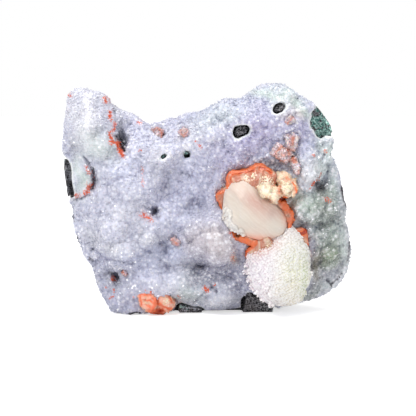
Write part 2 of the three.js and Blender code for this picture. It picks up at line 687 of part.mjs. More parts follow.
/** A blocky crystal: a box whose eight corners are cut off, or a plain larger box for its seat. */
function block({ at, proud, size, tilt, cut = 2.45 }, grow) {
  const [width, depth, height] = size.map((length) => length + 2 * grow);
  const [pitch, roll, yaw] = tilt.map(radians);
  const turn = new THREE.Matrix4().makeRotationFromEuler(new THREE.Euler(pitch, -roll, yaw, "YXZ"));
  turn.setPosition(at[0], -swellOut(...at) - proud, at[1]);
  const box = solidOf(new THREE.BoxGeometry(width, depth, height).applyMatrix4(turn));
  if (grow > 0) return box;
  const corners = new THREE.OctahedronGeometry(1);
  corners.scale((cut * width) / 2, (cut * depth) / 2, (cut * height) / 2);
  return box.intersect(solidOf(corners.applyMatrix4(turn)));
}

/** Blocky crystals grown together. */
function blocks(list) {
  return (grow) => joined(list.map((entry) => block(entry, grow)));
}

/** How far a border lies from its hub in the direction of an angle. */
function borderReach(border, [hubX, hubZ], angle) {
  const [dx, dz] = [Math.cos(angle), Math.sin(angle)];
  let reach = 0;
  border.forEach(([ax, az], i) => {
    const [bx, bz] = border[(i + 1) % border.length];
    const across = dx * (bz - az) - dz * (bx - ax);
    const along = ((ax - hubX) * (bz - az) - (az - hubZ) * (bx - ax)) / across;
    const share = ((ax - hubX) * dz - (az - hubZ) * dx) / across;
    if (along > 0 && share >= 0 && share <= 1) reach = Math.max(reach, along);
  });
  return reach;
}

/** How far out a sheaf's face stands at a share of the way from its hub to its border. */
function sheafOut({ border, hub, proud, ridge }, angle, share) {
  const base = swellOut(...hub);
  const reach = share * borderReach(border, hub, angle);
  const [x, z] = [hub[0] + reach * Math.cos(angle), hub[1] + reach * Math.sin(angle)];
  const turn = radians(ridge.turn);
  const side = (x - ridge.at[0]) * Math.sin(turn) - (z - ridge.at[1]) * Math.cos(turn);
  const fall = side > 0 ? ridge.fall[0] * side : -ridge.fall[1] * side;
  return base + proud * Math.max(0, 1 - share * share) ** 0.4 - fall * (1 - 0.5 * share * share);
}

/** One blade tip of a sheaf: a thin pointed plate that leans out of the face. */
function bladeTip(sheaf, { size, lift, reach }, angle, grow) {
  const away = reach * borderReach(sheaf.border, sheaf.hub, angle);
  const tip = new THREE.OctahedronGeometry(1);
  tip.scale(size[0] / 2 + grow + 0.6, size[2] / 2 + grow, size[1] / 2 + grow);
  tip.rotateZ(-radians(lift));
  tip.rotateY(-angle);
  tip.translate(
    sheaf.hub[0] + away * Math.cos(angle),
    -sheafOut(sheaf, angle, reach),
    sheaf.hub[1] + away * Math.sin(angle),
  );
  return solidOf(tip);
}

/** A stilbite sheaf: a swollen form over its border with a ridge, rooted in the crust, with blade tips. */
function sheaf(spec) {
  return (grow) => {
    const { border, hub, fineness, blades } = spec;
    const clearance = grow > 0 ? grow + SEAT_SLACK : 0;
    const geometry = new THREE.IcosahedronGeometry(1, grow > 0 ? fineness - 1 : fineness);
    reshaped(geometry, (corner) => {
      const angle = Math.atan2(corner.z, corner.x);
      const share = Math.min(1, Math.hypot(corner.x, corner.z));
      const reach = share * (borderReach(border, hub, angle) + clearance);
      const root = swellOut(...hub) - (SHEAF_ROOT + clearance) * corner.y;
      const out = corner.y < 0 ? sheafOut(spec, angle, share) + clearance : root;
      corner.set(hub[0] + reach * Math.cos(angle), -out, hub[1] + reach * Math.sin(angle));
    });
    const rows = grow > 0 ? blades.filter((row) => row.seated !== false) : blades;
    const tips = rows.flatMap((row) =>
      Array.from({ length: row.count }, (_, i) => {
        const angle = radians(THREE.MathUtils.lerp(...row.angles, i / (row.count - 1)));
        return bladeTip(spec, row, angle, grow);
      }),
    );
    return joined([solidOf(geometry), ...tips]);
  };
}

// The specimen

// Each crystal's shape and finish, in the order in which they give way to each other
const CRYSTALS = {
  smooth_stilbite_sheaf: [sheaf(SMOOTH_SHEAF), FINISH.cream],
  shingled_stilbite_sheaf: [sheaf(SHINGLED_SHEAF), FINISH.silky],
  pearly_apophyllite: [plates(PEARLY_PLATES), FINISH.pearly],
  upper_apophyllite: [plates(UPPER_PLATES), FINISH.apophyllite],
  lower_apophyllite: [plates(LOWER_PLATES), FINISH.apophyllite],
  side_apophyllite: [plates(SIDE_PLATES), FINISH.apophyllite],
  base_rosette: [plates(ROSETTE_PLATES), FINISH.apophyllite],
};
for (const [name, list] of Object.entries(SMALL_CRYSTALS)) CRYSTALS[name] = [blocks(list), FINISH.pink];

const group = new THREE.Group();
group.position.y = FOOT_SHIFT;

/** Adds a named mesh to the specimen. */
function addPiece(name, solid, finish) {
  const mesh = new THREE.Mesh(geometryOf(solid), new THREE.MeshStandardMaterial({ ...finish, metalness: 0 }));
  mesh.name = name;
  group.add(mesh);
}

const seatedBasalt = basaltSlab(GAP);
const seats = [];
for (const [name, [shape, finish]] of Object.entries(CRYSTALS)) {
  const crystal = seats.reduce((left, seat) => left.subtract(seat), shape(0).subtract(seatedBasalt));
  addPiece(name, crystal, finish);
  seats.push(shape(GAP));
}
addPiece("druzy_crust", bareCrust().subtract(joined(seats)), FINISH.crust);
addPiece("basalt_matrix", basalt(), FINISH.basalt);

export default group;
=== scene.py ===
"""A mineral specimen: druzy lavender crust on basalt with red-rimmed apophyllite and cream stilbite.

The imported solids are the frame. Each sub-assembly below takes its solid's place and gives it its fine
surface: lumps and grains on the crust, blade tips on the sheaf, growth steps and stained edges on the
crystals, vesicles in the rock. Sizes are millimetres, turned into metres when a mesh is written.
"""

import logging
import math
from dataclasses import dataclass, field
from enum import Enum
from typing import Callable, Iterator, Optional, Sequence

import bmesh
import bpy
import numpy as np
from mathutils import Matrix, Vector
from mathutils.bvhtree import BVHTree


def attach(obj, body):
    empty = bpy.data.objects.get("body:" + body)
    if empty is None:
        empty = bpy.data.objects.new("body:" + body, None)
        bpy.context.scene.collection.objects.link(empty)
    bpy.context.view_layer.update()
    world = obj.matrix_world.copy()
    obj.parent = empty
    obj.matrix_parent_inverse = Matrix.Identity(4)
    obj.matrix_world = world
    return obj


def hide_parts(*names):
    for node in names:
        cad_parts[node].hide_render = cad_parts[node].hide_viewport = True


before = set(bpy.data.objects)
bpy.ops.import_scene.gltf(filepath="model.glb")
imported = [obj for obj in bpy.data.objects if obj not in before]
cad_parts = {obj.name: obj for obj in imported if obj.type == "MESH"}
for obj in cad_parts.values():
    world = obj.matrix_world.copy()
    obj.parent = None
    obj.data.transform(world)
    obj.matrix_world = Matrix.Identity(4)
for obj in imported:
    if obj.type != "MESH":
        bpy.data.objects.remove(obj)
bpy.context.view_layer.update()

MM = 0.001
SLAB_PLANE = -12.0
ROOT = "root"
UNEVEN_WIDTH = 0.5
MINERAL_IOR = 1.54
STILBITE_IOR = 1.5
LOG = logging.getLogger("specimen")

Points = np.ndarray
Values = np.ndarray
Colour = tuple[float, float, float]
Outline = Sequence[tuple[float, float]]
Socket = bpy.types.NodeSocket
Outputs = bpy.types.bpy_prop_collection


# Fields over space


class Rough:
    """Repeatable unevenness of space, worked out for whole arrays of points at once.

    A number added to all the points asks for it elsewhere in space, so that two uses don't match.
    """

    PRIMES = (73856093, 19349663, 83492791)
    TABLE_SIZE = 65536
    SEED_ROWS = (1, 2, 3)
    TILT_SHIFTS = (7.0, 19.0, 31.0)

    def __init__(self, seed: int) -> None:
        """Draws the table of numbers that the unevenness is made of.

        Args:
            seed: Number of the draw.
        """
        self.table = np.random.default_rng(seed).random((4, self.TABLE_SIZE))

    def _at(self, cells: np.ndarray, row: int) -> Values:
        """The table's numbers for whole-number cells."""
        x, y, z = (cells[..., axis].astype(np.int64) * prime for axis, prime in enumerate(self.PRIMES))
        return self.table[row, (x ^ y ^ z) & (self.TABLE_SIZE - 1)]

    def _seeds(self, place: Points) -> Iterator[tuple[np.ndarray, Points, Values]]:
        """The scattered seeds round each place: their cell, the way to them and how far it is."""
        cell = np.floor(place)
        for step in np.ndindex(3, 3, 3):
            near_cell = cell + np.array(step) - 1.0
            spot = np.stack([self._at(near_cell, row) for row in self.SEED_ROWS], axis=1)
            away = near_cell + spot - place
            yield near_cell, away, np.linalg.norm(away, axis=1)

    def swells(self, points: Points, size: float) -> Values:
        """Smooth unevenness.

        Args:
            points: Places, in millimetres.
            size: Width of one swell, in millimetres.

        Returns:
            One value from -1 to 1 for each point.
        """
        place = points / size
        cell = np.floor(place)
        share = place - cell
        share = share * share * (3.0 - 2.0 * share)
        total = np.zeros(len(points))
        for corner in np.ndindex(2, 2, 2):
            weight = np.prod(np.where(np.array(corner) == 1, share, 1.0 - share), axis=1)
            total += weight * self._at(cell + np.array(corner), 0)
        return 2.0 * total - 1.0

    def layered(self, points: Points, size: float, layers: int = 3) -> Values:
        """Swells on swells, each half as wide and half as high as the one before."""
        total = np.zeros(len(points))
        height = 1.0
        for layer in range(layers):
            total += height * self.swells(points + 37.0 * layer, size / 2**layer)
            height *= 0.5
        return total / (2.0 - 2.0 * height)

    def pebbles(self, points: Points, size: float) -> Values:
        """Distances to the nearest of scattered seeds.

        Args:
            points: Places, in millimetres.
            size: Mean spacing of the seeds, in millimetres.

        Returns:
            The distance in units of the spacing, for each point.
        """
        return np.min([distance for _, _, distance in self._seeds(points / size)], axis=0)

    def facets(self, points: Points, size: float) -> Values:
        """Heights of a surface broken into flat tilted faces.

        Args:
            points: Places, in millimetres.
            size: Mean width of a face, in millimetres.

        Returns:
            Heights in units of the width, mostly from -0.5 to 0.5.
        """
        nearest = np.full(len(points), np.inf)
        height = np.zeros(len(points))
        for cell, away, distance in self._seeds(points / size):
            tilt = np.stack([self._at(cell + shift, 0) for shift in self.TILT_SHIFTS], axis=1) - 0.5
            closer = distance < nearest
            nearest[closer] = distance[closer]
            height[closer] = np.sum(away * tilt, axis=1)[closer] + 0.5 * tilt[closer, 0]
        return height


def ease(values: Values, low: float, high: float) -> Values:
    """A smooth step from 0 at low to 1 at high."""
    share = np.clip((values - low) / (high - low), 0.0, 1.0)
    return share * share * (3.0 - 2.0 * share)


def unit(vectors: Points) -> Points:
    """Each vector brought to length 1."""
    return vectors / np.linalg.norm(vectors, axis=1, keepdims=True)


def nearest_on_line(points: Points, line: Outline, closed: bool = False) -> tuple[Values, np.ndarray]:
    """The nearest place on a line of straight runs, looked at square to the face.

    Args:
        points: Places, in millimetres.
        line: Corners of the line, as X and Z.
        closed: Whether the last corner joins the first.

    Returns:
        The distance in millimetres and the nearest place, as X and Z, for each point.
    """
    corners = np.array(line, float)
    starts = corners if closed else corners[:-1]
    ends = np.roll(corners, -1, axis=0) if closed else corners[1:]
    flat = points[:, [0, 2]]
    nearest = np.full(len(points), np.inf)
    places = np.zeros((len(points), 2))
    for start, end in zip(starts, ends):
        run = end - start
        share = np.clip((flat - start) @ run / (run @ run), 0.0, 1.0)
        place = start + share[:, None] * run
        distance = np.linalg.norm(flat - place, axis=1)
        closer = distance < nearest
        nearest[closer] = distance[closer]
        places[closer] = place[closer]
    return nearest, places


def distance_to_line(points: Points, line: Outline, closed: bool = False) -> Values:
    """Distance on the face from points to a line of straight runs."""
    return nearest_on_line(points, line, closed)[0]


def inside(points: Points, border: Outline) -> np.ndarray:
    """Whether each point is inside a closed border on the face."""
    x, z = points[:, 0], points[:, 2]
    within = np.zeros(len(points), bool)
    corners = list(border)
    for (ax, az), (bx, bz) in zip(corners, corners[1:] + corners[:1]):
        if az == bz:
            continue
        crosses = (az > z) != (bz > z)
        within ^= crosses & (x < ax + (z - az) / (bz - az) * (bx - ax))
    return within


def turned(x: Values, z: Values, degrees: float) -> tuple[Values, Values]:
    """Coordinates on the face along axes that are turned by an angle."""
    turn = math.radians(degrees)
    return x * math.cos(turn) + z * math.sin(turn), z * math.cos(turn) - x * math.sin(turn)


ROUGH = Rough(11)


def drift(points: Points, size: float) -> Points:
    """A smooth shift of each point, from -1 to 1 in each direction, whose swells are size mm wide."""
    return np.stack([ROUGH.swells(points + step, size) for step in (0.0, 50.0, 90.0)], axis=1)


# Meshes


def link(name: str, mesh: bpy.types.Mesh) -> bpy.types.Object:
    """Puts a mesh into the scene as a new object at the origin."""
    piece = bpy.data.objects.new(name, mesh)
    bpy.context.scene.collection.objects.link(piece)
    return piece


def merged_copy(node: str, name: str) -> bpy.types.Object:
    """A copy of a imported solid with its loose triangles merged.

    Args:
        node: Name of the solid.
        name: Name of the new piece.

    Returns:
        The new piece.
    """
    shape = bmesh.new()
    shape.from_mesh(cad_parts[node].data)
    bmesh.ops.remove_doubles(shape, verts=shape.verts, dist=1e-6)
    bmesh.ops.recalc_face_normals(shape, faces=shape.faces)
    mesh = bpy.data.meshes.new(name)
    shape.to_mesh(mesh)
    shape.free()
    return link(name, mesh)


def solid_tree(node: str) -> BVHTree:
    """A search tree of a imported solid's faces."""
    shape = bmesh.new()
    shape.from_mesh(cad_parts[node].data)
    tree = BVHTree.FromBMesh(shape)
    shape.free()
    return tree


def apply_modifiers(piece: bpy.types.Object) -> None:
    """Writes a piece's modifiers into its mesh."""
    graph = bpy.context.evaluated_depsgraph_get()
    mesh = bpy.data.meshes.new_from_object(piece.evaluated_get(graph))
    old = piece.data
    piece.modifiers.clear()
    piece.data = mesh
    bpy.data.meshes.remove(old)


def thin_hidden_side(piece: bpy.types.Object, neighbour: BVHTree, reach: float, ratio: float) -> None:
    """Thins out a piece's faces where they lie against another solid and can't be seen.

    Args:
        piece: The piece.
        neighbour: Search tree of the other solid.
        reach: How near it a point counts as hidden, in millimetres.
        ratio: Share of the whole mesh's faces that is kept.
    """
    group = piece.vertex_groups.new(name="hidden")
    near = [
        point.index
        for point in piece.data.vertices
        if neighbour.find_nearest(point.co, reach * MM)[0] is not None
    ]
    group.add(near, 1.0, "REPLACE")
    LOG.info("%s: %d of %d points hidden", piece.name, len(near), len(piece.data.vertices))
    modifier = piece.modifiers.new("thin_out", "DECIMATE")
    modifier.vertex_group = "hidden"
    modifier.vertex_group_factor = 1000.0
    modifier.ratio = ratio
    apply_modifiers(piece)
    piece.vertex_groups.clear()


def remesh(piece: bpy.types.Object, voxel: float) -> None:
    """Rebuilds a piece's surface from even cells.

    Args:
        piece: The piece.
        voxel: Size of a cell, in millimetres.
    """
    modifier = piece.modifiers.new("even_cells", "REMESH")
    modifier.mode = "VOXEL"
    modifier.voxel_size = voxel * MM
    apply_modifiers(piece)


class Surface:
    """A piece's mesh as arrays, for moves in code."""

    def __init__(self, piece: bpy.types.Object) -> None:
        """Reads the piece's points, normals and edges."""
        self.piece = piece
        mesh = piece.data
        count = len(mesh.vertices)
        flat = np.empty(count * 3)
        mesh.vertices.foreach_get("co", flat)
        self.points = flat.reshape(-1, 3) / MM
        edges = np.empty(len(mesh.edges) * 2, np.int64)
        mesh.edges.foreach_get("vertices", edges)
        self.edges = edges.reshape(-1, 2)
        self.neighbours = np.bincount(self.edges.ravel(), minlength=count)

    @property
    def normals(self) -> Points:
        """The mesh's point normals as it stands."""
        self.write()
        flat = np.empty(len(self.points) * 3, np.float32)
        self.piece.data.vertex_normals.foreach_get("vector", flat)
        return flat.reshape(-1, 3).astype(float)

    def averaged(self, values: np.ndarray) -> np.ndarray:
        """The mean of each point's neighbours' values, for one column or several."""
        columns = values.reshape(len(values), -1)
        one, other = self.edges.T
        mean = np.empty(columns.shape)
        for column in range(columns.shape[1]):
            there = np.bincount(one, columns[other, column], len(values))
            back = np.bincount(other, columns[one, column], len(values))
            mean[:, column] = (there + back) / np.maximum(self.neighbours, 1)
        return mean.reshape(values.shape)

    def standing(self, rounds: int) -> Values:
        """How far each point stands above the surface smoothed over some rounds, in millimetres."""
        smoothed = self.points.copy()
        for _ in range(rounds):
            smoothed += 0.7 * (self.averaged(smoothed) - smoothed)
        return np.sum((self.points - smoothed) * self.normals, axis=1)

    def smooth(self, rounds: int, strength: float = 0.6, keep: Optional[Values] = None) -> None:
        """Moves each point towards its neighbours.

        Args:
            rounds: How many times.
            strength: Share of the way each time.
            keep: Optional share, from 0 to 1 for each point, that is held back.
        """
        hold = strength if keep is None else (strength * (1.0 - keep))[:, None]
        for _ in range(rounds):
            self.points += hold * (self.averaged(self.points) - self.points)

    def raise_by(self, height: Values) -> None:
        """Moves each point along its normal by a height in millimetres."""
        self.points += self.normals * height[:, None]

    def lift_to_floor(self) -> None:
        """Brings the points below the floor up to it."""
        self.points[:, 2] = np.maximum(self.points[:, 2], 0.0)

    def write(self) -> None:
        """Writes the points back into the mesh."""
        self.piece.data.vertices.foreach_set("co", (self.points * MM).ravel())
        self.piece.data.update()

    def value(self, name: str, values: Values) -> None:
        """Stores one number for each point under a name."""
        layer = self.piece.data.attributes.new(name, "FLOAT", "POINT")
        layer.data.foreach_set("value", values.astype(np.float32))

    def tint(self, name: str, colours: np.ndarray) -> None:
        """Stores one colour for each point under a name."""
        layer = self.piece.data.attributes.new(name, "FLOAT_COLOR", "POINT")
        rgba = np.ones((len(colours), 4), np.float32)
        rgba[:, :3] = colours
        layer.data.foreach_set("color", rgba.ravel())


def strewn_mesh(
    name: str, shapes: np.ndarray, axes: Sequence[Points], places: Points, faces: np.ndarray
) -> bpy.types.Object:
    """One piece made of many small shapes, each turned and set down on its own, none below the floor.

    Args:
        name: Name of the piece.
        shapes: Points of each shape, as shapes by points by 3, in millimetres.
        axes: What the shapes' own X, Y and Z turn to: three arrays with a direction for each shape.
        places: Where each shape's origin comes to lie.
        faces: Triangles of one shape.

    Returns:
        The new piece.
    """
    corners = np.einsum("nij,nkj->nki", np.stack(axes, axis=2), shapes) + places[:, None, :]
    corners[:, :, 2] = np.maximum(corners[:, :, 2], 0.0)
    copies, per_copy = corners.shape[:2]
    mesh = bpy.data.meshes.new(name)
    mesh.vertices.add(copies * per_copy)
    mesh.vertices.foreach_set("co", (corners * MM).ravel())
    triangles = (np.arange(copies)[:, None, None] * per_copy + faces).reshape(-1, 3)
    mesh.loops.add(triangles.size)
    mesh.loops.foreach_set("vertex_index", triangles.ravel().astype(np.int32))
    mesh.polygons.add(len(triangles))
    mesh.polygons.foreach_set("loop_start", np.arange(0, triangles.size, 3, dtype=np.int32))
    mesh.update(calc_edges=True)
    mesh.validate()
    return link(name, mesh)


def settle(
    piece: bpy.types.Object, material: bpy.types.Material, smooth: bool, nodes: Sequence[str]
) -> None:
    """Shades a finished piece, gives it its material and hands it to the frame.

    Args:
        piece: The piece.
        material: Its material.
        smooth: Whether it is shaded smooth or flat.
        nodes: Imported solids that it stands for.
    """
    piece.data.polygons.foreach_set("use_smooth", [smooth] * len(piece.data.polygons))
    piece.data.update()
    piece.data.materials.append(material)
    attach(piece, ROOT)
    if nodes:
        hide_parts(*nodes)
    LOG.info("%s: %d faces", piece.name, len(piece.data.polygons))


# Shaders


class Wiring:
    """Adds and links the nodes of one material or node group."""

    def __init__(self, tree: bpy.types.NodeTree) -> None:
        """Keeps the tree that the nodes go into."""
        self.tree = tree

    def add(self, kind: str, inputs: Optional[dict] = None, **settings: object) -> bpy.types.Node:
        """Adds a node.

        Args:
            kind: The node's type name without ShaderNode.
            inputs: Input name or number to a value or an output socket.
            settings: The node's own properties.

        Returns:
            The node.
        """
        node = self.tree.nodes.new("ShaderNode" + kind)
        for key, value in settings.items():
            setattr(node, key, value)
        self.feed(node, inputs or {})
        return node

    def feed(self, node: bpy.types.Node, inputs: dict) -> None:
        """Links the output sockets among the inputs to a node and sets the others as its constants."""
        for key, value in inputs.items():
            if isinstance(value, Socket):
                self.tree.links.new(value, node.inputs[key])
            else:
                node.inputs[key].default_value = value

    def math(self, operation: str, *values: object) -> Socket:
        """One sum on numbers or sockets."""
        return self.add("Math", dict(enumerate(values)), operation=operation).outputs[0]

    def mix(self, share: object, one: object, other: object, blend: str = "MIX") -> Socket:
        """Mixes two colours by a share."""
        node = self.tree.nodes.new("ShaderNodeMix")
        node.data_type = "RGBA"
        node.blend_type = blend
        one, other = (value if isinstance(value, Socket) else (*value, 1.0) for value in (one, other))
        self.feed(node, {0: share, 6: one, 7: other})
        return node.outputs[2]

    def ramp(self, share: object, low: float, high: float, start: float = 0.0, end: float = 1.0) -> Socket:
        """A smooth step from start to end as share goes from low to high."""
        values = {0: share, 1: low, 2: high, 3: start, 4: end}
        return self.add("MapRange", values, interpolation_type="SMOOTHSTEP").outputs[0]

    def place(self) -> Socket:
        """Object coordinates in metres."""
        return self.add("TexCoord").outputs["Object"]

    def attribute(self, name: str, output: str = "Fac") -> Socket:
        """A value or colour stored on the mesh."""
        return self.add("Attribute", attribute_name=name).outputs[output]

    def mottle(self, place: object, size: float, contrast: float) -> Socket:
        """Cloudy mottling from 0 to 1, whose clouds are size millimetres wide."""
        return placed_effect(self, Effect.mottle(), place, Size=size, Contrast=contrast)

    def noise(self, place: object, size: float, detail: float = 3.0, roughness: float = 0.55) -> Socket:
        """Noise whose swells are size millimetres wide."""
        values = {"Vector": place, "Scale": 1.0 / (size * MM), "Detail": detail, "Roughness": roughness}
        return self.add("TexNoise", values).outputs["Fac"]


def linear(red: int, green: int, blue: int) -> Colour:
    """A colour given as 0 to 255 on screen, as the light that shaders use."""

    def channel(value: int) -> float:
        share = value / 255.0
        return share / 12.92 if share <= 0.04045 else ((share + 0.055) / 1.055) ** 2.4

    return channel(red), channel(green), channel(blue)


def new_material(name: str) -> tuple[bpy.types.Material, Wiring, bpy.types.Node]:
    """A fresh node material.

    Returns:
        The material, its wiring and its Principled shader.
    """
    material = bpy.data.materials.new(name)
    material.use_nodes = True
    tree = material.node_tree
    tree.nodes.clear()
    wiring = Wiring(tree)
    shader = wiring.add("BsdfPrincipled")
    output = wiring.add("OutputMaterial")
    tree.links.new(shader.outputs[0], output.inputs[0])
    return material, wiring, shader


class Effect:
    """Shader node groups that more than one finish uses, each built once."""

    @staticmethod
    def _group(
        name: str, inputs: dict[str, float], output: str, fill: Callable[[Wiring, Outputs, Socket], Socket]
    ) -> bpy.types.NodeTree:
        """The group of a name, built when it is first asked for.

        Args:
            name: Its name.
            inputs: Its number inputs with their defaults, beside the place.
            output: Name of its one number output.
            fill: Adds its nodes, from its inputs and the scale per metre, and gives the result.

        Returns:
            The group.
        """
        if name in bpy.data.node_groups:
            return bpy.data.node_groups[name]
        tree = bpy.data.node_groups.new(name, "ShaderNodeTree")
        tree.interface.new_socket("Place", in_out="INPUT", socket_type="NodeSocketVector")
        for label, default in inputs.items():
            socket = tree.interface.new_socket(label, in_out="INPUT", socket_type="NodeSocketFloat")
            socket.default_value = default
        tree.interface.new_socket(output, in_out="OUTPUT", socket_type="NodeSocketFloat")
        wiring = Wiring(tree)
        source = tree.nodes.new("NodeGroupInput").outputs
        result = fill(wiring, source, wiring.math("DIVIDE", 1.0 / MM, source["Size"]))
        tree.links.new(result, tree.nodes.new("NodeGroupOutput").inputs[output])
        return tree

    @classmethod
    def grain(cls) -> bpy.types.NodeTree:
        """Sugary grain: the height of small crystal faces, from the place and the grain size in mm."""

        def fill(wiring: Wiring, source: Outputs, scale: Socket) -> Socket:
            cells = wiring.add("TexVoronoi", {"Vector": source["Place"], "Scale": scale})
            fine_scale = wiring.math("MULTIPLY", scale, 2.3)
            fine = wiring.add("TexVoronoi", {"Vector": source["Place"], "Scale": fine_scale})
            return wiring.math("MULTIPLY_ADD", fine.outputs["Distance"], 0.4, cells.outputs["Distance"])

        return cls._group("sugar_grain", {"Size": 1.2}, "Height", fill)

    @classmethod
    def knobs(cls) -> bpy.types.NodeTree:
        """Rounded knobs from 0 in the seams to 1 on top, from the place and the knob size in mm."""

        def fill(wiring: Wiring, source: Outputs, scale: Socket) -> Socket:
            cells = wiring.add("TexVoronoi", {"Vector": source["Place"], "Scale": scale})
            return wiring.ramp(cells.outputs["Distance"], 0.12, 0.7, 1.0, 0.0)

        return cls._group("round_knobs", {"Size": 2.0}, "Height", fill)

    @classmethod
    def mottle(cls) -> bpy.types.NodeTree:
        """Cloudy mottling from 0 to 1, from the place, the cloud size in mm and the contrast."""

        def fill(wiring: Wiring, source: Outputs, scale: Socket) -> Socket:
            cloud = wiring.add("TexNoise", {"Vector": source["Place"], "Scale": scale, "Detail": 4.0})
            centred = wiring.math("SUBTRACT", cloud.outputs["Fac"], 0.5)
            steep = wiring.math("MULTIPLY", centred, source["Contrast"])
            wide = wiring.math("MULTIPLY_ADD", steep, 3.0, 0.5)
            return wiring.add("Clamp", {"Value": wide}).outputs[0]

        return cls._group("cloud_mottle", {"Size": 5.0, "Contrast": 1.0}, "Mask", fill)


def placed_effect(
    wiring: Wiring, tree: bpy.types.NodeTree, place: object, **values: float
) -> Socket:
    """Puts a shared effect into a material with its own values."""
    node = wiring.tree.nodes.new("ShaderNodeGroup")
    node.node_tree = tree
    wiring.tree.links.new(place, node.inputs["Place"])
    for label, value in values.items():
        node.inputs[label].default_value = value
    return node.outputs[0]


@dataclass(frozen=True)
class DruseFinish:
    """Sugary translucent chalcedony with orange stains. Lump and knob tops are painted paler as a painted
    highlight, and troughs and knob seams darker and bluer as painted shade.
    """

    name: str
    stain: Colour = linear(226, 100, 54)
    deep_stain: Colour = linear(184, 62, 28)
    # Pale colour of the painted highlight on tops and of the random flecks
    pale: Colour = linear(240, 240, 246)
    # Painted shade, multiplied into troughs and knob seams
    trough: Colour = (0.36, 0.38, 0.5)
    knob: float = 2.2
    broken: Colour = linear(232, 236, 238)
    # Colour of the painted shade in recesses and of the dark rock along bare edges
    shade_and_dark_rock: Colour = linear(58, 58, 66)
    roughness: float = 0.34
    scatter: float = 0.22
    grain_depth: float = 0.12
    knob_depth: float = 0.34

    def build(self) -> bpy.types.Material:
        """Makes the material."""
        material, wiring, shader = new_material(self.name)
        place = wiring.place()
        tint = wiring.attribute("tint", "Color")
        cloud = wiring.mottle(place, 1.5, 1.0)
        fleck = wiring.mottle(place, 0.7, 1.8)
        knob = placed_effect(wiring, Effect.knobs(), place, Size=self.knob)
        # Painted light: the relief and the knobs paint tops paler as a painted highlight, and troughs and
        # seams darker as painted shade
        spread = wiring.math("MULTIPLY_ADD", knob, 0.5, wiring.math("MULTIPLY", cloud, 0.22))
        contrast = wiring.ramp(wiring.attribute("soft"), 0.0, 1.0, 0.85, 0.3)
        fine = wiring.math("MULTIPLY", wiring.math("SUBTRACT", spread, 0.36), contrast)
        lift = wiring.math("ADD", wiring.attribute("relief"), fine)
        high = wiring.ramp(lift, 0.42, 1.0)
        colour = wiring.mix(wiring.math("MULTIPLY", high, 0.78), tint, self.pale)
        low = wiring.ramp(lift, 0.44, 0.0)
        dark = wiring.mix(1.0, colour, self.trough, "MULTIPLY")
        colour = wiring.mix(wiring.math("MULTIPLY", low, 0.75), colour, dark)
        colour = wiring.mix(wiring.math("MULTIPLY", fleck, 0.16), colour, self.pale)
        # Painted shade in the recesses, deepest in the knob seams, together with the dark rock where a groove
        # has no depth
        shade_and_dark_rock = wiring.math("MULTIPLY", wiring.attribute("shade_and_dark_rock"), wiring.ramp(knob, 0.0, 1.0, 1.25, 0.75))
        colour = wiring.mix(wiring.ramp(shade_and_dark_rock, 0.0, 1.0), colour, self.shade_and_dark_rock)
        colour = wiring.mix(wiring.attribute("rim"), colour, self.broken)
        stained = wiring.mix(fleck, self.deep_stain, self.stain)
        speckle = wiring.math("MULTIPLY_ADD", fleck, 0.9, wiring.attribute("stain"))
        share = wiring.ramp(speckle, 0.78, 1.5)
        colour = wiring.mix(share, colour, stained)
        grain = placed_effect(wiring, Effect.grain(), place, Size=0.9)
        fine_height = wiring.math("MULTIPLY", grain, self.grain_depth)
        height = wiring.math("MULTIPLY_ADD", knob, self.knob_depth, fine_height)
        bump = wiring.add("Bump", {"Strength": 0.8, "Distance": MM, "Height": height})
        wiring.feed(shader, {
            "Base Color": colour,
            "Normal": bump.outputs[0],
            "Roughness": self.roughness,
            "IOR": MINERAL_IOR,
            "Subsurface Weight": self.scatter,
            "Subsurface Radius": (1.0, 1.0, 1.15),
            "Subsurface Scale": 1.6 * MM,
        })
        return material


@dataclass(frozen=True)
class GlintFinish:
    """Clean white crystal faces that catch the light and glow a little, as a painted glint."""

    name: str
    colour: Colour = linear(252, 252, 255)
    # Emission that makes the glints glow: a painted glint
    glow: float = 0.25

    def build(self) -> bpy.types.Material:
        """Makes the material."""
        material, wiring, shader = new_material(self.name)
        share = wiring.ramp(wiring.noise(wiring.place(), 1.0), 0.0, 0.2, 0.9, 1.0)
        wiring.feed(shader, {
            "Base Color": wiring.mix(share, (0.8, 0.8, 0.85), self.colour),
            "Emission Color": (1.0, 1.0, 1.0, 1.0),
            "Emission Strength": self.glow,
            "Roughness": 0.06,
        })
        return material


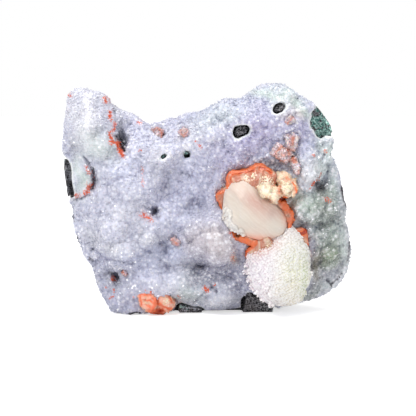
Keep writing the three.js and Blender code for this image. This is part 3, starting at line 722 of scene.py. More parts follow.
@dataclass(frozen=True)
class BasaltFinish:
    """Dark rock with a crystalline sheen, rusty pores and blue-green celadonite."""

    name: str
    dark: Colour = linear(34, 32, 37)
    light: Colour = linear(176, 173, 177)
    green: Colour = linear(206, 240, 232)
    deep_green: Colour = linear(88, 142, 134)
    crusted: Colour = linear(196, 198, 208)
    warm: Colour = linear(92, 78, 70)

    def build(self) -> bpy.types.Material:
        """Makes the material."""
        material, wiring, shader = new_material(self.name)
        place = wiring.place()
        cloud = wiring.mottle(place, 9.0, 1.0)
        grit = wiring.mottle(place, 0.8, 2.2)
        colour = wiring.mix(wiring.math("MULTIPLY", grit, 0.8), self.dark, self.light)
        colour = wiring.mix(wiring.ramp(cloud, 0.55, 1.0, 0.0, 0.35), colour, self.warm)
        wide = wiring.mottle(place, 24.0, 1.4)
        colour = wiring.mix(wiring.ramp(wide, 0.5, 0.0, 0.0, 0.45), colour, self.dark)
        speck = wiring.mottle(place, 2.2, 2.4)
        patch = wiring.math("MULTIPLY_ADD", speck, 0.7, wiring.attribute("celadonite"))
        greens = wiring.mix(grit, self.deep_green, self.green)
        colour = wiring.mix(wiring.ramp(patch, 0.7, 1.0), colour, greens)
        coated = wiring.math("MULTIPLY_ADD", grit, 0.5, wiring.attribute("crusted"))
        colour = wiring.mix(wiring.ramp(coated, 0.55, 0.95), colour, self.crusted)
        coarse = wiring.noise(place, 2.2, 6.0, 0.7)
        height = wiring.math("MULTIPLY_ADD", grit, 0.35, coarse)
        bump = wiring.add("Bump", {"Strength": 0.8, "Distance": 0.5 * MM, "Height": height})
        wiring.feed(shader, {
            "Base Color": colour,
            "Normal": bump.outputs[0],
            "Roughness": wiring.ramp(grit, 0.0, 1.0, 0.75, 0.3),
        })
        return material


@dataclass(frozen=True)
class CrystalFinish:
    """Translucent apophyllite: peach or pink inside, red along its edges, cream where it flakes."""

    name: str
    body: Colour = linear(198, 122, 96)
    red: Colour = linear(240, 122, 70)
    deep: Colour = linear(182, 60, 28)
    cream: Colour = linear(244, 234, 210)
    transmission: float = 0.24
    roughness: float = 0.22
    scatter: float = 0.35
    grain: float = 1.1

    def build(self) -> bpy.types.Material:
        """Makes the material."""
        material, wiring, shader = new_material(self.name)
        place = wiring.place()
        cloud = wiring.mottle(place, 2.6, 1.3)
        fine = wiring.mottle(place, 0.8, 2.0)
        paler = wiring.mix(0.5, self.body, self.cream)
        colour = wiring.mix(wiring.math("MULTIPLY", cloud, 0.32), self.body, paler)
        streak = wiring.ramp(wiring.attribute("streak"), 0.45, 0.75)
        colour = wiring.mix(wiring.math("MULTIPLY", streak, 0.5), colour, self.cream)
        flaked = wiring.ramp(wiring.math("MULTIPLY_ADD", fine, 0.6, wiring.attribute("cream")), 0.62, 1.0)
        colour = wiring.mix(flaked, colour, self.cream)
        red = wiring.math("MULTIPLY_ADD", cloud, 0.2, wiring.attribute("red"))
        colour = wiring.mix(wiring.ramp(red, 0.15, 0.95), colour, self.red)
        colour = wiring.mix(wiring.ramp(red, 1.1, 1.6), colour, self.deep)
        growth = wiring.noise(place, self.grain, 4.0, 0.6)
        bump = wiring.add("Bump", {"Strength": 0.5, "Distance": 0.25 * MM, "Height": growth})
        wiring.feed(shader, {
            "Base Color": colour,
            "Normal": bump.outputs[0],
            "Transmission Weight": wiring.ramp(flaked, 0.0, 1.0, self.transmission, 0.02),
            "Roughness": self.roughness,
            "IOR": MINERAL_IOR,
            "Subsurface Weight": self.scatter,
            "Subsurface Radius": (1.0, 0.5, 0.3),
            "Subsurface Scale": 1.6 * MM,
        })
        return material


@dataclass(frozen=True)
class SheafFinish:
    """Silky stilbite: fine threads that catch the light, with a soft tint. Blade bases are painted darker as
    painted shade between the blades, and blade tips paler as a painted highlight.
    """

    name: str
    bright: Colour
    # Painted shade at the bases of the blades, where they overlap
    gap: Colour = (0.5, 0.46, 0.52)
    roughness: float = 0.42
    thread: float = 0.5
    sheen: float = 0.25

    def build(self) -> bpy.types.Material:
        """Makes the material."""
        material, wiring, shader = new_material(self.name)
        place = wiring.place()
        tint = wiring.attribute("tint", "Color")
        along = wiring.attribute("thread")
        streak = wiring.add("TexNoise", {"W": along, "Scale": 1.0, "Detail": 3.0}, noise_dimensions="1D")
        cloud = wiring.mottle(place, 1.5, 1.0)
        thread = wiring.ramp(streak.outputs["Fac"], 0.38, 0.66)
        share = wiring.math("MULTIPLY", thread, wiring.math("MULTIPLY_ADD", cloud, 0.6, 0.2))
        colour = wiring.mix(wiring.math("MULTIPLY", share, 0.42), tint, self.bright)
        # Painted shade at the blade bases and painted highlight at the blade tips
        tip = wiring.attribute("tip")
        shadow = wiring.mix(1.0, colour, self.gap, "MULTIPLY")
        colour = wiring.mix(wiring.ramp(tip, 0.4, 0.0), colour, shadow)
        colour = wiring.mix(wiring.ramp(tip, 0.5, 1.0, 0.0, 0.8), colour, self.bright)
        height = wiring.math("MULTIPLY_ADD", cloud, 0.5, streak.outputs["Fac"])
        bump = wiring.add("Bump", {"Strength": 0.4, "Distance": self.thread * 0.3 * MM, "Height": height})
        wiring.feed(shader, {
            "Base Color": colour,
            "Normal": bump.outputs[0],
            "Roughness": self.roughness,
            "Sheen Weight": self.sheen,
            "IOR": STILBITE_IOR,
            "Subsurface Weight": 0.35,
            "Subsurface Radius": (1.0, 0.8, 0.65),
            "Subsurface Scale": 1.5 * MM,
        })
        return material


@dataclass(frozen=True)
class FloorFinish:
    """Plain pale studio floor with the faintest paper grain and a little light of its own."""

    name: str = "studio_floor"
    colour: Colour = (0.93, 0.93, 0.93)
    near_glow: float = 0.62
    far_glow: float = 0.8

    def build(self) -> bpy.types.Material:
        """Makes the material."""
        material, wiring, shader = new_material(self.name)
        grain = wiring.noise(wiring.place(), 4.0)
        away = wiring.add("VectorMath", {0: wiring.place()}, operation="LENGTH").outputs["Value"]
        glow = wiring.ramp(away, 0.2, 1.2, self.near_glow, self.far_glow)
        seen = wiring.add("LightPath").outputs["Is Camera Ray"]
        wiring.feed(shader, {
            "Base Color": wiring.mix(wiring.math("MULTIPLY", grain, 0.02), self.colour, (0.9, 0.9, 0.9)),
            "Roughness": 0.9,
            "Emission Color": (1.0, 1.0, 1.0, 1.0),
            "Emission Strength": wiring.math("MULTIPLY", glow, seen),
        })
        return material


# Colour zones and stains of the crust


class Tint(Enum):
    """Tints of the crust and the sheaves."""

    LAVENDER = linear(184, 187, 211)
    MILKY = linear(218, 219, 228)
    BLUE = linear(186, 192, 216)
    GREY = linear(164, 166, 178)
    GREEN_WHITE = linear(205, 220, 214)
    GREY_GREEN = linear(124, 141, 116)
    WARM_WHITE = linear(188, 179, 183)
    GREY_WHITE = linear(206, 207, 212)
    VIOLET = linear(170, 164, 200)
    OCHRE = linear(206, 188, 166)
    BROWN_GREY = linear(140, 136, 118)
    # DEEP and DUSK are dark tints for painted shade over troughs and hollows
    DEEP = linear(98, 104, 112)
    DUSK = linear(131, 133, 153)
    WHITE = linear(250, 246, 246)
    CREAM_WHITE = linear(208, 201, 190)
    BEIGE = linear(208, 188, 175)
    PINK_BEIGE = linear(196, 158, 146)
    PEACH = linear(232, 160, 132)
    PINK_WHITE = linear(238, 226, 233)
    YELLOW_WHITE = linear(234, 232, 202)
    YELLOW_GREEN = linear(216, 223, 182)
    BEIGE_WHITE = linear(230, 220, 200)


@dataclass(frozen=True)
class Oval:
    """An oval stretch of the face: place, half-sizes, turn in degrees and strength."""

    at: tuple[float, float]
    size: tuple[float, float]
    turn: float
    strength: float

    def weight(self, points: Points) -> Values:
        """How strong the stretch is at each point."""
        across, along = turned(points[:, 0] - self.at[0], points[:, 2] - self.at[1], self.turn)
        return self.strength * np.exp(-((across / self.size[0]) ** 2 + (along / self.size[1]) ** 2))


@dataclass(frozen=True)
class Zone(Oval):
    """An oval stretch of the face with a tint of its own."""

    tint: Tint


@dataclass(frozen=True)
class Stain:
    """An orange-red stained lip or spot: a line on the face, how wide and how strong."""

    line: Outline
    width: float
    strength: float

    def weight(self, points: Points) -> Values:
        """How stained each point is."""
        width = self.width * (1.0 + UNEVEN_WIDTH * ROUGH.layered(points, 1.8))
        return self.strength * np.exp(-((distance_to_line(points, self.line) / width) ** 2))


@dataclass(frozen=True)
class Groove:
    """A recess in the crust: a line on the face, its half-width and depth, and how dark it is painted, as
    painted shade in a recess or as the dark rock along an edge where the depth is 0.
    """

    line: Outline
    width: float
    depth: float
    shade: float

    def weight(self, points: Points) -> Values:
        """How much of the recess each point takes."""
        width = 1.15 * self.width * (1.0 + UNEVEN_WIDTH * ROUGH.layered(points + 60.0, 4.5))
        return np.exp(-((distance_to_line(points, self.line) / width) ** 2))


@dataclass(frozen=True)
class Mound:
    """A rounded rise of the crust: place, half-sizes and height on the face."""

    at: tuple[float, float]
    size: tuple[float, float]
    rise: float

    def height(self, points: Points) -> Values:
        """How high the rise is at each point."""
        across = (points[:, 0] - self.at[0]) / self.size[0]
        along = (points[:, 2] - self.at[1]) / self.size[1]
        return self.rise * np.sqrt(np.clip(1.0 - across**2 - along**2, 0.0, 1.0))


@dataclass(frozen=True)
class Bare:
    """A stretch of the edge where the crust is broken off and the basalt shows.

    The crust ends at the inner line; the outer corners close the border outside the specimen. The inset
    is how far inside the specimen's edge the slab's own edge lies there, or 0 where it isn't moved.
    """

    inner: Outline
    outer: Outline
    inset: float

    @property
    def border(self) -> Outline:
        """The whole border."""
        return (*self.inner, *self.outer)


def corners_of(numbers: Sequence[float]) -> Outline:
    """Corners from a run of X and Z in turn."""
    return tuple(zip(numbers[::2], numbers[1::2]))


def ovals(*rows: Sequence[float]) -> tuple[Oval, ...]:
    """Ovals from rows of X, Z, half-width, half-height, turn and strength."""
    return tuple(Oval(row[:2], row[2:4], *row[4:]) for row in rows)


def zones(*rows: Sequence[object]) -> tuple[Zone, ...]:
    """Zones from rows of X, Z, half-width, half-height, turn, strength and the tint's name."""
    return tuple(Zone(row[:2], row[2:4], *row[4:6], Tint[row[6]]) for row in rows)


def stains(*rows: Sequence[float]) -> tuple[Stain, ...]:
    """Stains from rows of width, strength, and the X and Z of each corner."""
    return tuple(Stain(corners_of(row[2:]), *row[:2]) for row in rows)


def grooves(*rows: Sequence[float]) -> tuple[Groove, ...]:
    """Grooves from rows of half-width, depth, shade, and the X and Z of each corner."""
    return tuple(Groove(corners_of(row[3:]), *row[:3]) for row in rows)


def mounds(*rows: Sequence[float]) -> tuple[Mound, ...]:
    """Mounds from rows of X, Z, half-width, half-height and rise."""
    return tuple(Mound(row[:2], row[2:4], row[4]) for row in rows)


# The crust's tints in the order in which they are laid over each other. The BLUE, DUSK and DEEP zones over
# hollows and troughs carry the crust's bluish tint and also painted shade.
ZONES = zones(
    (-62, 102, 15, 22, 0, 1, "MILKY"), (-57, 90, 8, 8, 0, 0.6, "GREEN_WHITE"),
    (-67, 74, 5, 10, 0, 0.8, "GREEN_WHITE"), (-70, 88, 4, 5, 0, 0.5, "GREY"),
    (-50, 62, 20, 12, 0, 0.35, "MILKY"), (-43, 54, 12, 8, 0, 0.6, "MILKY"),
    (-62, 44, 7, 8, 0, 0.6, "GREY_WHITE"), (-48, 37, 9, 6, 0, 0.8, "GREY_WHITE"),
    (-31, 41, 8, 7, 0, 0.6, "GREY_WHITE"), (-26, 84, 15, 13, 0, 0.55, "MILKY"),
    (-47, 76, 7, 4, 10, 0.6, "BLUE"), (-12, 72, 13, 8, 0, 0.6, "LAVENDER"),
    (-9, 52, 9, 9, -25, 1, "BLUE"), (3, 42, 14, 13, -15, 1, "WARM_WHITE"),
    (-3, 24, 24, 7, -12, 1, "DUSK"), (14, 30, 8, 10, 0, 0.8, "DUSK"), (-17, 27, 10, 6, 0, 0.4, "MILKY"),
    (-9, 13, 9, 7, 0, 0.8, "GREEN_WHITE"), (-24, 14, 15, 6, 0, 0.5, "MILKY"),
    (-22, 33, 9, 6, -20, 0.8, "BLUE"), (-36, 30, 13, 5, -20, 0.5, "BLUE"),
    (-50, 20, 9, 8, 0, 0.6, "GREY"), (12, 33, 2.6, 4, 0, 0.8, "OCHRE"), (-4, 95, 12, 8, 0, 0.5, "MILKY"),
    (8, 104, 12, 8, 0, 0.5, "GREEN_WHITE"), (24, 96, 13, 12, 30, 0.9, "VIOLET"),
    (10, 84, 12, 9, 0, 0.5, "VIOLET"), (44, 98, 8, 7, 0, 0.6, "VIOLET"),
    (44, 108, 5, 4, 0, 0.55, "OCHRE"), (34, 117.5, 15, 4, 0, 0.9, "GREEN_WHITE"),
    (48, 110, 9, 4, -38, 0.9, "GREEN_WHITE"), (61, 90, 4, 6, 0, 0.9, "GREEN_WHITE"),
    (58, 80, 7, 6, 0, 0.7, "GREEN_WHITE"), (50, 76, 7, 6, 0, 0.7, "GREY_WHITE"),
    (67, 70, 3, 10, 0, 0.8, "GREEN_WHITE"), (52, 60, 9, 7, 0, 0.9, "GREEN_WHITE"),
    (47, 56, 6, 8, 0, 0.7, "GREEN_WHITE"), (64, 56, 5, 4, 0, 0.6, "GREY_WHITE"),
    (33, 79, 8, 3.5, -15, 0.7, "DEEP"), (60, 67, 5, 4.5, 0, 0.8, "DEEP"),
    (58, 49, 9, 3.4, -4, 0.75, "DEEP"), (62, 60, 14, 14, 0, 0.65, "GREY_GREEN"),
    (66, 34, 12, 18, 0, 1, "GREY_GREEN"), (66, 46, 5, 4, 0, 0.6, "GREEN_WHITE"),
    (58, 40, 4, 4, 0, 0.5, "GREEN_WHITE"), (57, 30, 5, 8, 0, 1, "BROWN_GREY"),
    (56, 19, 4, 7, 0, 0.9, "BROWN_GREY"), (63, 22, 5, 4, 0, 0.7, "GREY"),
    (64, 12, 6, 3, 0, 0.7, "GREEN_WHITE"), (52, 10, 7, 3, 0, 0.8, "GREY_GREEN"),
    (72, 34, 2.4, 16, 0, 0.7, "GREEN_WHITE"), (8, 9, 12, 5, 0, 0.6, "GREY_WHITE"),
)

# Where the crust is smooth and evenly pale, with less painted highlight and painted shade on its knobs
SOFT = ovals(
    (-62, 103, 14, 20, 0, 0.55), (-66, 74, 5, 10, 0, 0.8), (2, 37, 10, 9, 0, 0.6), (52, 60, 8, 7, 0, 0.6),
    (34, 116, 16, 5, 0, 0.4),
)

STAINS = stains(
    (1, 1, -53.3, 114.9, -52.8, 112.3), (1, 1.2, -50.8, 107.8, -50.2, 104.3),
    (0.7, 1.1, -48, 101.7, -48.8, 98.7, -50.6, 97), (1, 1.2, -50.8, 96.9, -49.6, 94.6, -49.4, 92.6),
    (1, 1.35, -48.8, 92.4, -46.8, 91.1, -45.3, 87.1, -44.3, 84.8), (0.8, 1, -62.7, 79.6, -61, 75.9),
    (0.6, 0.8, -59.4, 74.5, -59.9, 71.4), (1.4, 1.15, -60.9, 69.6, -63.4, 65.9),
    (0.9, 1.15, -67, 64.8, -71, 63.9), (0.9, 0.95, -72, 116.9, -71.4, 116),
    (0.9, 0.7, -37.6, 102.4, -35.8, 102), (0.5, 0.95, -35.5, 87.9, -35.2, 87.9),
    (0.8, 0.75, -6.2, 92.1, -3.3, 89.6), (0.6, 0.5, -34.1, 79.1, -33.1, 69.8),
    (1.6, 0.82, -33.7, 54.9, -32, 53.6, -29.6, 52.4), (1.1, 0.95, -50.9, 19.4, -50.5, 18.4),
    (0.5, 1.1, -49.4, 13.9, -49.4, 12.7), (0.45, 1, -49.6, 10.9, -52.8, 8),
    (0.5, 0.9, -54.2, 14.6, -54, 14.2), (0.7, 0.8, -39.1, 10.7, -38.9, 10.5),
    (0.6, 1.1, -29.7, 14.2, -29.7, 13.4), (0.5, 0.9, -32.4, 15, -32.2, 14.8),
    (0.5, 1, -16.1, 11.5, -14.8, 9.4), (0.8, 1, -17.9, 7.6, -17.5, 7.2),
    (1.1, 1.15, -1.4, 16.4, -0.2, 15.4), (0.6, 1, 3.7, 17.9, 3.9, 17.7), (1.3, 0.5, 13, 34.4, 12.7, 31.2),
    (0.7, 0.85, 54.2, 86, 54.6, 85.4), (1, 0.75, 61.2, 87.4, 61.4, 86.2),
    (0.9, 1.2, 54.9, 71.4, 54.2, 70.4), (0.6, 1.1, 56.3, 73, 56.7, 72.2),
    (0.4, 0.75, 51, 66.7, 55, 70.6, 59.2, 76.8), (0.9, 0.8, 61.5, 62.5, 63.3, 60.9),
    (0.8, 1, 11.4, 46, 14.6, 43.4, 19.2, 41.2, 23.6, 39.2), (1.6, 1.3, 34.8, 72, 35.4, 68),
    (1.4, 1.2, 38.4, 62.6, 36.8, 61.2),
)

# Recesses carved into the crust and painted darker as painted shade; rows of depth 0 paint only the dark rock
# along the edge
GROOVES = grooves(
    (1, 1.4, 0.3, -49.2, 109.4, -47.4, 103.4), (0.95, 3.6, 1.15, -47.2, 95.2, -45.4, 91.6, -43.4, 87.8),
    (1.8, 1, 0.16, -44.6, 94, -42.8, 90, -41.6, 86.4),
    (0.8, 1.6, 0.42, -63.6, 84.4, -61.6, 81.2, -60.4, 78.2),
    (1.3, 1.6, 0.14, -58.8, 76.2, -57.8, 71.8, -59.4, 67.4),
    (0.8, 1.6, 0.45, -61.6, 65, -66, 62.8, -70, 62),
    (1.6, 1.7, 0.26, -29.6, 57.4, -26.4, 55, -25.6, 53.4), (0.6, 1.2, 0.3, -33.4, 59.6, -30, 57),
    (2.4, 2.4, 0.16, -24.4, 39.2, -21.6, 36.8, -23, 33.6),
    (1.8, 2.4, 0.34, -52, 22.4, -49, 21.6, -47.8, 18.6, -49.4, 17),
    (1.6, 1.8, 0.28, -13.2, 76, -10.6, 74.6), (1.3, 1.4, 0.14, -21.4, 76.4, -20.6, 72, -22.6, 68.6),
    (0.7, 0.9, 0.05, -8.6, 29.2, 0.4, 24.6, 6, 24, 13, 20.6), (1.1, 2.2, 0.35, 2, 16.4, 4.2, 14.2),
    (0.7, 1, 0.3, -1.6, 14.4, -4.4, 10.8, -7.4, 6.6), (1.4, 1.4, 0.05, -24.6, 30, -20, 25.4),
    (1.6, 1.6, 0, -60.4, 36, -52, 31, -40, 29.6), (1.4, 1.4, 0, -14, 46.6, -8, 40),
    (5.6, 3.4, 0, -33, 7, -22, 6.6), (2.4, 3, 0.62, 56.4, 70.4, 59.6, 68),
    (2.2, 2.2, 0.14, 49.6, 49.4, 57, 48, 66, 50.4), (1.6, 1.6, 0.2, 66, 50.4, 71.8, 47),
    (1.2, 1.8, 0.1, 61.6, 59.4, 59, 53.6), (1.8, 1.8, 0.12, 52.8, 26.4, 60, 27.6),
    (1, 1.6, 0.55, 64, 17, 65.6, 15.4), (0.8, 1.2, 0.2, 57.6, 42.6, 60.2, 40.6),
    (2.4, 1.4, 0.25, 29.4, 82.6, 36.4, 79.4), (0.9, 1.6, 0.2, 60.6, 84.6, 58.4, 82.2),
    (1.2, 1.6, 0.3, 62.4, 80, 63, 76.4), (0.6, 0, 0.8, 75.8, 39.6, 76, 33, 75.2, 27.4),
    (0.9, 0, 1, 70.4, 68, 71.4, 64.6, 73, 60, 74.2, 56.4),
    (0.7, 0, 0.8, 66.2, 14.4, 69.6, 17.2, 71.6, 20.4), (0.6, 0, 1, -41.4, 1.4, -36.4, 1.2),
    (0.7, 1.2, 1.1, 29.2, 10, 29.2, 9.8), (0.7, 0, 0.6, -71.6, 58.4, -71, 50),
    (0.5, 0, 0.7, -68.8, 41.6, -66.6, 35.6), (1, 0.5, 0.55, -62.8, 30.8, -60.8, 29),
)

MOUNDS = mounds(
    (2.2, 37, 10.5, 9.5, 2.6), (-31, 41, 5.4, 5.2, 1.7), (-48, 46, 8, 6, 1.2), (-44, 35.6, 6, 4.6, 1.2),
    (-62, 36.6, 2.6, 2.4, 1.1), (-58.8, 33, 2.4, 2.2, 1), (-64.6, 40.6, 2.2, 2, 0.9),
    (-61, 103, 11, 13, 0.8), (-57, 88, 6, 5, 1.2), (-66, 73, 3.6, 7, 1), (-42, 68, 9, 6, 1.2),
    (-22, 86, 9, 6, 1), (-16, 60, 8, 6, 1), (-14, 21, 9, 5.6, 1.3), (-30, 21, 6, 5, 1.2),
    (2, 98, 8, 6, 1), (50, 58, 6, 6.6, 1.5), (65, 58.6, 4.4, 4.2, 1.3), (60, 40.6, 4.6, 4.6, 1.5),
    (67, 41, 3.8, 4, 1.2), (64, 33, 4.4, 3.8, 1.2), (67.4, 25.4, 3.4, 3.4, 1),
    (56.4, 33.4, 2.8, 3.2, 0.9), (52, 76.4, 4.6, 4.4, 1.3), (60, 89.6, 4, 3.6, 1.2), (53, 88, 4.4, 4, 1),
    (5.4, 9.4, 6, 4.6, 1),
)

# Where a thin pale coat lies on the basalt
COATED = ovals(
    (-6, 3.6, 7, 1.6, 0, 1), (-13.4, 1.4, 3, 1, 0, 0.7), (-74, 74, 2.6, 9, 0, 0.62),
)

BARES = (
    Bare(
        ((-76.4, 84.6), (-73.4, 82.2), (-72.4, 78.6), (-71.6, 74.4), (-70.9, 68.6), (-70.4, 62.6)),
        ((-82, 60.4), (-82, 85)),
        5.0,
    ),
    Bare(
        ((59.4, 112.6), (57, 110.6), (56.3, 108.9), (53.6, 106.8), (54, 105.5), (52.8, 102.6), (53.2, 99.4),
         (55, 98.2), (56.4, 94.9), (59.6, 93.4), (61.3, 95), (63.8, 94.8), (66.2, 94)),
        ((78, 93), (78, 112)),
        7.0,
    ),
    Bare(
        ((-11, 0.4), (-9.6, 1.6), (-4, 2.2), (3, 2.6), (10, 2.4), (17, 3)),
        ((18, -6), (-11, -6)),
        0.0,
    ),
)

# The specimen's edge, clockwise from the top left, as it appears in the crystals' plane
SEEN_EDGE: Outline = (
    (-70.8, 118.2), (-67.7, 119.8), (-64.6, 119.6), (-61.5, 118.7), (-58.3, 117.7), (-55.4, 118.4),
    (-53.6, 117.2), (-52.6, 114.6), (-51.6, 112), (-49, 109.9), (-45.8, 108.3), (-42.7, 107.2),
    (-39.6, 106), (-36.5, 104), (-33.3, 102), (-30.2, 101), (-27.1, 102), (-24, 103), (-20.8, 104.6),
    (-17.7, 104.2), (-14.6, 106), (-11.5, 107.2), (-5.2, 107.7), (-2.1, 109.2), (1, 111.2), (4.2, 112),
    (7.3, 114.8), (12, 114.4), (16.7, 114.5), (19.8, 117), (22.9, 119.2), (26, 121.2), (32.3, 122.3),
    (35.4, 122.7), (38.5, 121.8), (41.7, 119.6), (44.8, 117.1), (51, 113.4), (54.2, 112.3), (57.3, 108.7),
    (60.4, 105), (63, 100.4), (64.5, 95.3), (64.4, 90.1), (61.3, 87.5), (63.4, 83.9), (65.5, 80.6),
    (67.5, 74.5), (68.6, 68.2), (70.2, 65.1), (72.2, 58.9), (70.2, 53.1), (71.3, 49.5), (72.8, 46.4),
    (74.3, 40.1), (74.8, 33.9), (73.9, 27.6), (73.2, 24.5), (70.8, 21.4), (69.1, 18.2), (66, 15.1),
    (60, 12), (52.6, 9.9), (46, 8.6), (39, 7.3), (33.3, 5.4), (20, 4.8), (6, 4.6), (-6.8, 4.6), (-14.6, 4.6),
    (-22.4, 4.6), (-30.2, 4.6), (-38, 4.6), (-43.2, 4.6), (-48.4, 5), (-53, 7.6), (-56.1, 12), (-58.2, 16.1),
    (-59.8, 21.4), (-60.8, 27.6), (-62.2, 30.7), (-64.6, 33.9), (-66, 38.5), (-67.6, 43.2), (-69.7, 49.5),
    (-70.2, 52.6), (-70.0, 58.9), (-73.0, 62.4), (-74.0, 67.2), (-74.9, 73.4), (-75.6, 80.7), (-75.5, 90.1),
    (-74.5, 96.3), (-74, 102.6), (-72.8, 108.8), (-72.6, 114.6),
)
# The run of Y over which a bare stretch tapers back to the slab
TAPER = (SLAB_PLANE - 2.0, SLAB_PLANE + 16.0)

# The foot, below this height and left of this X, isn't trimmed
FOOT_TOP = 2.0
FOOT_END = 32.0
RIM_SPREAD = 1.02
RIM_SHIFT = 0.8
RIM_STRETCH = 1.026
RIM_DROP = 3.5

# The same edge, moved from the crystals' plane out to the rim that lies behind it
RIM_EDGE: Outline = [(x * RIM_SPREAD + RIM_SHIFT, z * RIM_STRETCH - RIM_DROP) for x, z in SEEN_EDGE]

# A window with more corners than this is a large one, and its white edge is narrowed less
SMALL_CORNERS = 6
LARGE_NARROWING = 1.2
SMALL_NARROWING = 1.9

WHITE_EDGE = 0.9
WHITE_EDGE_REACH = (0.5, 1.15)

# How far drawn lines and tints are shifted to make them ragged, and how wide the shifts are
RAGGED_SHIFT = 0.8
RAGGED_WIDTH = 2.8
TINT_SHIFT = 5.0
TINT_SHIFT_WIDTH = 9.0

# The run of Y over which the crust turns milky towards its back
PALER_BACK = (SLAB_PLANE - 14.0, SLAB_PLANE + 2.0)

# Borders of the openings in the crust where basalt shows
WINDOWS: tuple[Outline, ...] = (
    ((12.6, 96.9), (13.6, 100.1), (16.6, 100.9), (20.2, 101), (21.8, 99.1), (21, 96.3), (18, 95.3),
     (15.8, 93.9), (13.8, 94.3)),
    ((33.4, 108.7), (34.9, 111.5), (37.5, 112.4), (40.2, 112.1), (40, 109.9), (38.3, 107.7),
     (35.7, 106.7), (33.9, 107.1)),
    ((-25, 83.8), (-24, 85.4), (-22.2, 86.2), (-21, 85.5), (-22.1, 83.9), (-24, 83.2)),
    ((-12.9, 86.2), (-12, 87.7), (-10.1, 87.6), (-9.2, 86.2), (-10.1, 84.5), (-12, 84.4)),
    ((54.7, 77.2), (55, 79.2), (56.2, 80.3), (56.8, 79.7), (56.2, 78.2), (55.5, 77.1)),
)

# Lines along which the crust's edge is chipped and white
CHIPS: tuple[Outline, ...] = (
    ((-73.4, 82.2), (-72.2, 78.4), (-71.2, 74.0), (-70.4, 65.0)),
    ((-71.6, 80.6), (-70.6, 76.0), (-70.2, 71.8)),
    ((18.6, 6), (21, 13.2), (22.6, 12.6), (26.6, 9.2), (30.4, 7), (34.6, 6.4)),
    ((-16.4, 4.4), (-14.4, 5.8), (-10.4, 4.2), (-3, 3.6)),
)


def warped(points: Points) -> Points:
    """Points shifted a little, so that lines drawn over them come out ragged."""
    shift = [ROUGH.layered(points + step, RAGGED_WIDTH) for step in (500.0, 560.0, 620.0)]
    return points + RAGGED_SHIFT * np.stack(shift, axis=1)


def blended_tints(base: Tint, over: Sequence[Zone], points: Points) -> np.ndarray:
    """The colour of each point: a base tint with zones laid over it in order."""
    colours = np.tile(np.array(base.value), (len(points), 1))
    for zone in over:
        share = np.clip(zone.weight(points), 0.0, 1.0)[:, None]
        colours = colours * (1.0 - share) + share * np.array(zone.tint.value)
    return colours


def crust_tints(points: Points) -> np.ndarray:
    """The crust's tint at each point."""
    colours = blended_tints(Tint.LAVENDER, ZONES, points + TINT_SHIFT * drift(points, TINT_SHIFT_WIDTH))
    back = ease(points[:, 1], *PALER_BACK)[:, None]
    return colours * (1.0 - 0.5 * back) + 0.5 * back * np.array(Tint.MILKY.value)


def crust_stains(points: Points) -> Values:
    """How stained the crust is at each point."""
    ragged = warped(points)
    return np.max([stain.weight(ragged) for stain in STAINS], axis=0)


def rim_share(points: Points) -> Values:
    """How much each point belongs to the white broken edge round a window, chip or bare stretch."""
    near = np.full(len(points), np.inf)
    for border in WINDOWS:
        narrowing = LARGE_NARROWING if len(border) > SMALL_CORNERS else SMALL_NARROWING
        near = np.minimum(near, narrowing * distance_to_line(points, border, closed=True))
    for line in (*CHIPS, *(bare.inner for bare in BARES if bare.inset)):
        near = np.minimum(near, distance_to_line(points, line))
    return WHITE_EDGE * (1.0 - ease(near + 0.3 * ROUGH.layered(points, 1.5), *WHITE_EDGE_REACH))


def groove_marks(points: Points) -> tuple[Values, Values]:
    """How deep the recesses are at each point, in millimetres, and how dark they are painted, as painted
    shade or dark rock.
    """
    ragged = warped(points)
    weights = [groove.weight(ragged) for groove in GROOVES]
    depth = np.max([groove.depth * weight for groove, weight in zip(GROOVES, weights)], axis=0)
    dark = np.max([groove.shade * weight for groove, weight in zip(GROOVES, weights)], axis=0)
    return depth, np.clip(dark, 0.0, 1.0)


def open_windows(surface: Surface) -> None:
    """Opens the windows of a surface out to their borders and cuts it back along the bare stretches."""
    lines = [(border, border, True) for border in WINDOWS]
    lines += [(bare.border, bare.inner, False) for bare in BARES]
    for border, line, closed in lines:
        within = np.flatnonzero(inside(surface.points, border))
        _, places = nearest_on_line(surface.points[within], line, closed)
        surface.points[within[:, None], [0, 2]] = places


def grow_to_edge(surface: Surface, reach: float = 6.0) -> None:
    """Stretches a surface's front out to the specimen's edge along the bare stretches.

    Args:
        surface: The surface.
        reach: How far in from the slab's own edge the stretching starts, in millimetres.
    """
    distance, places = nearest_on_line(surface.points, RIM_EDGE, closed=True)
    for bare in BARES:
        if not bare.inset:
            continue
        gap = distance_to_line(surface.points, bare.border, closed=True)
        gap[inside(surface.points, bare.border)] = 0.0
        share = (1.0 - ease(gap, 0.5, 3.0)) * (distance < bare.inset + reach)
        share *= 1.0 - ease(surface.points[:, 1], *TAPER)
        wanted = np.maximum(distance - bare.inset, 0.0) * (bare.inset + reach) / reach
        scale = wanted / np.maximum(distance, 1e-6)
        flat = surface.points[:, [0, 2]]
        moved = places + (flat - places) * scale[:, None]
        surface.points[:, [0, 2]] = flat + share[:, None] * (moved - flat)


def fit_edge(surface: Surface, grow: float) -> None:
    """Brings a surface's outline onto the specimen's edge.

    Args:
        surface: The surface.
        grow: How far its outer walls are pushed out before the edge trims them, in millimetres.
    """
    normals = surface.normals
    distance = distance_to_line(surface.points, RIM_EDGE, closed=True)
    share = (1.0 - ease(distance, 1.0, 7.0)) * ease(surface.points[:, 2], 0.5, 3.0)
    surface.points[:, 0] += grow * share * normals[:, 0]
    surface.points[:, 2] += grow * share * normals[:, 2]
    trim_to_edge(surface)


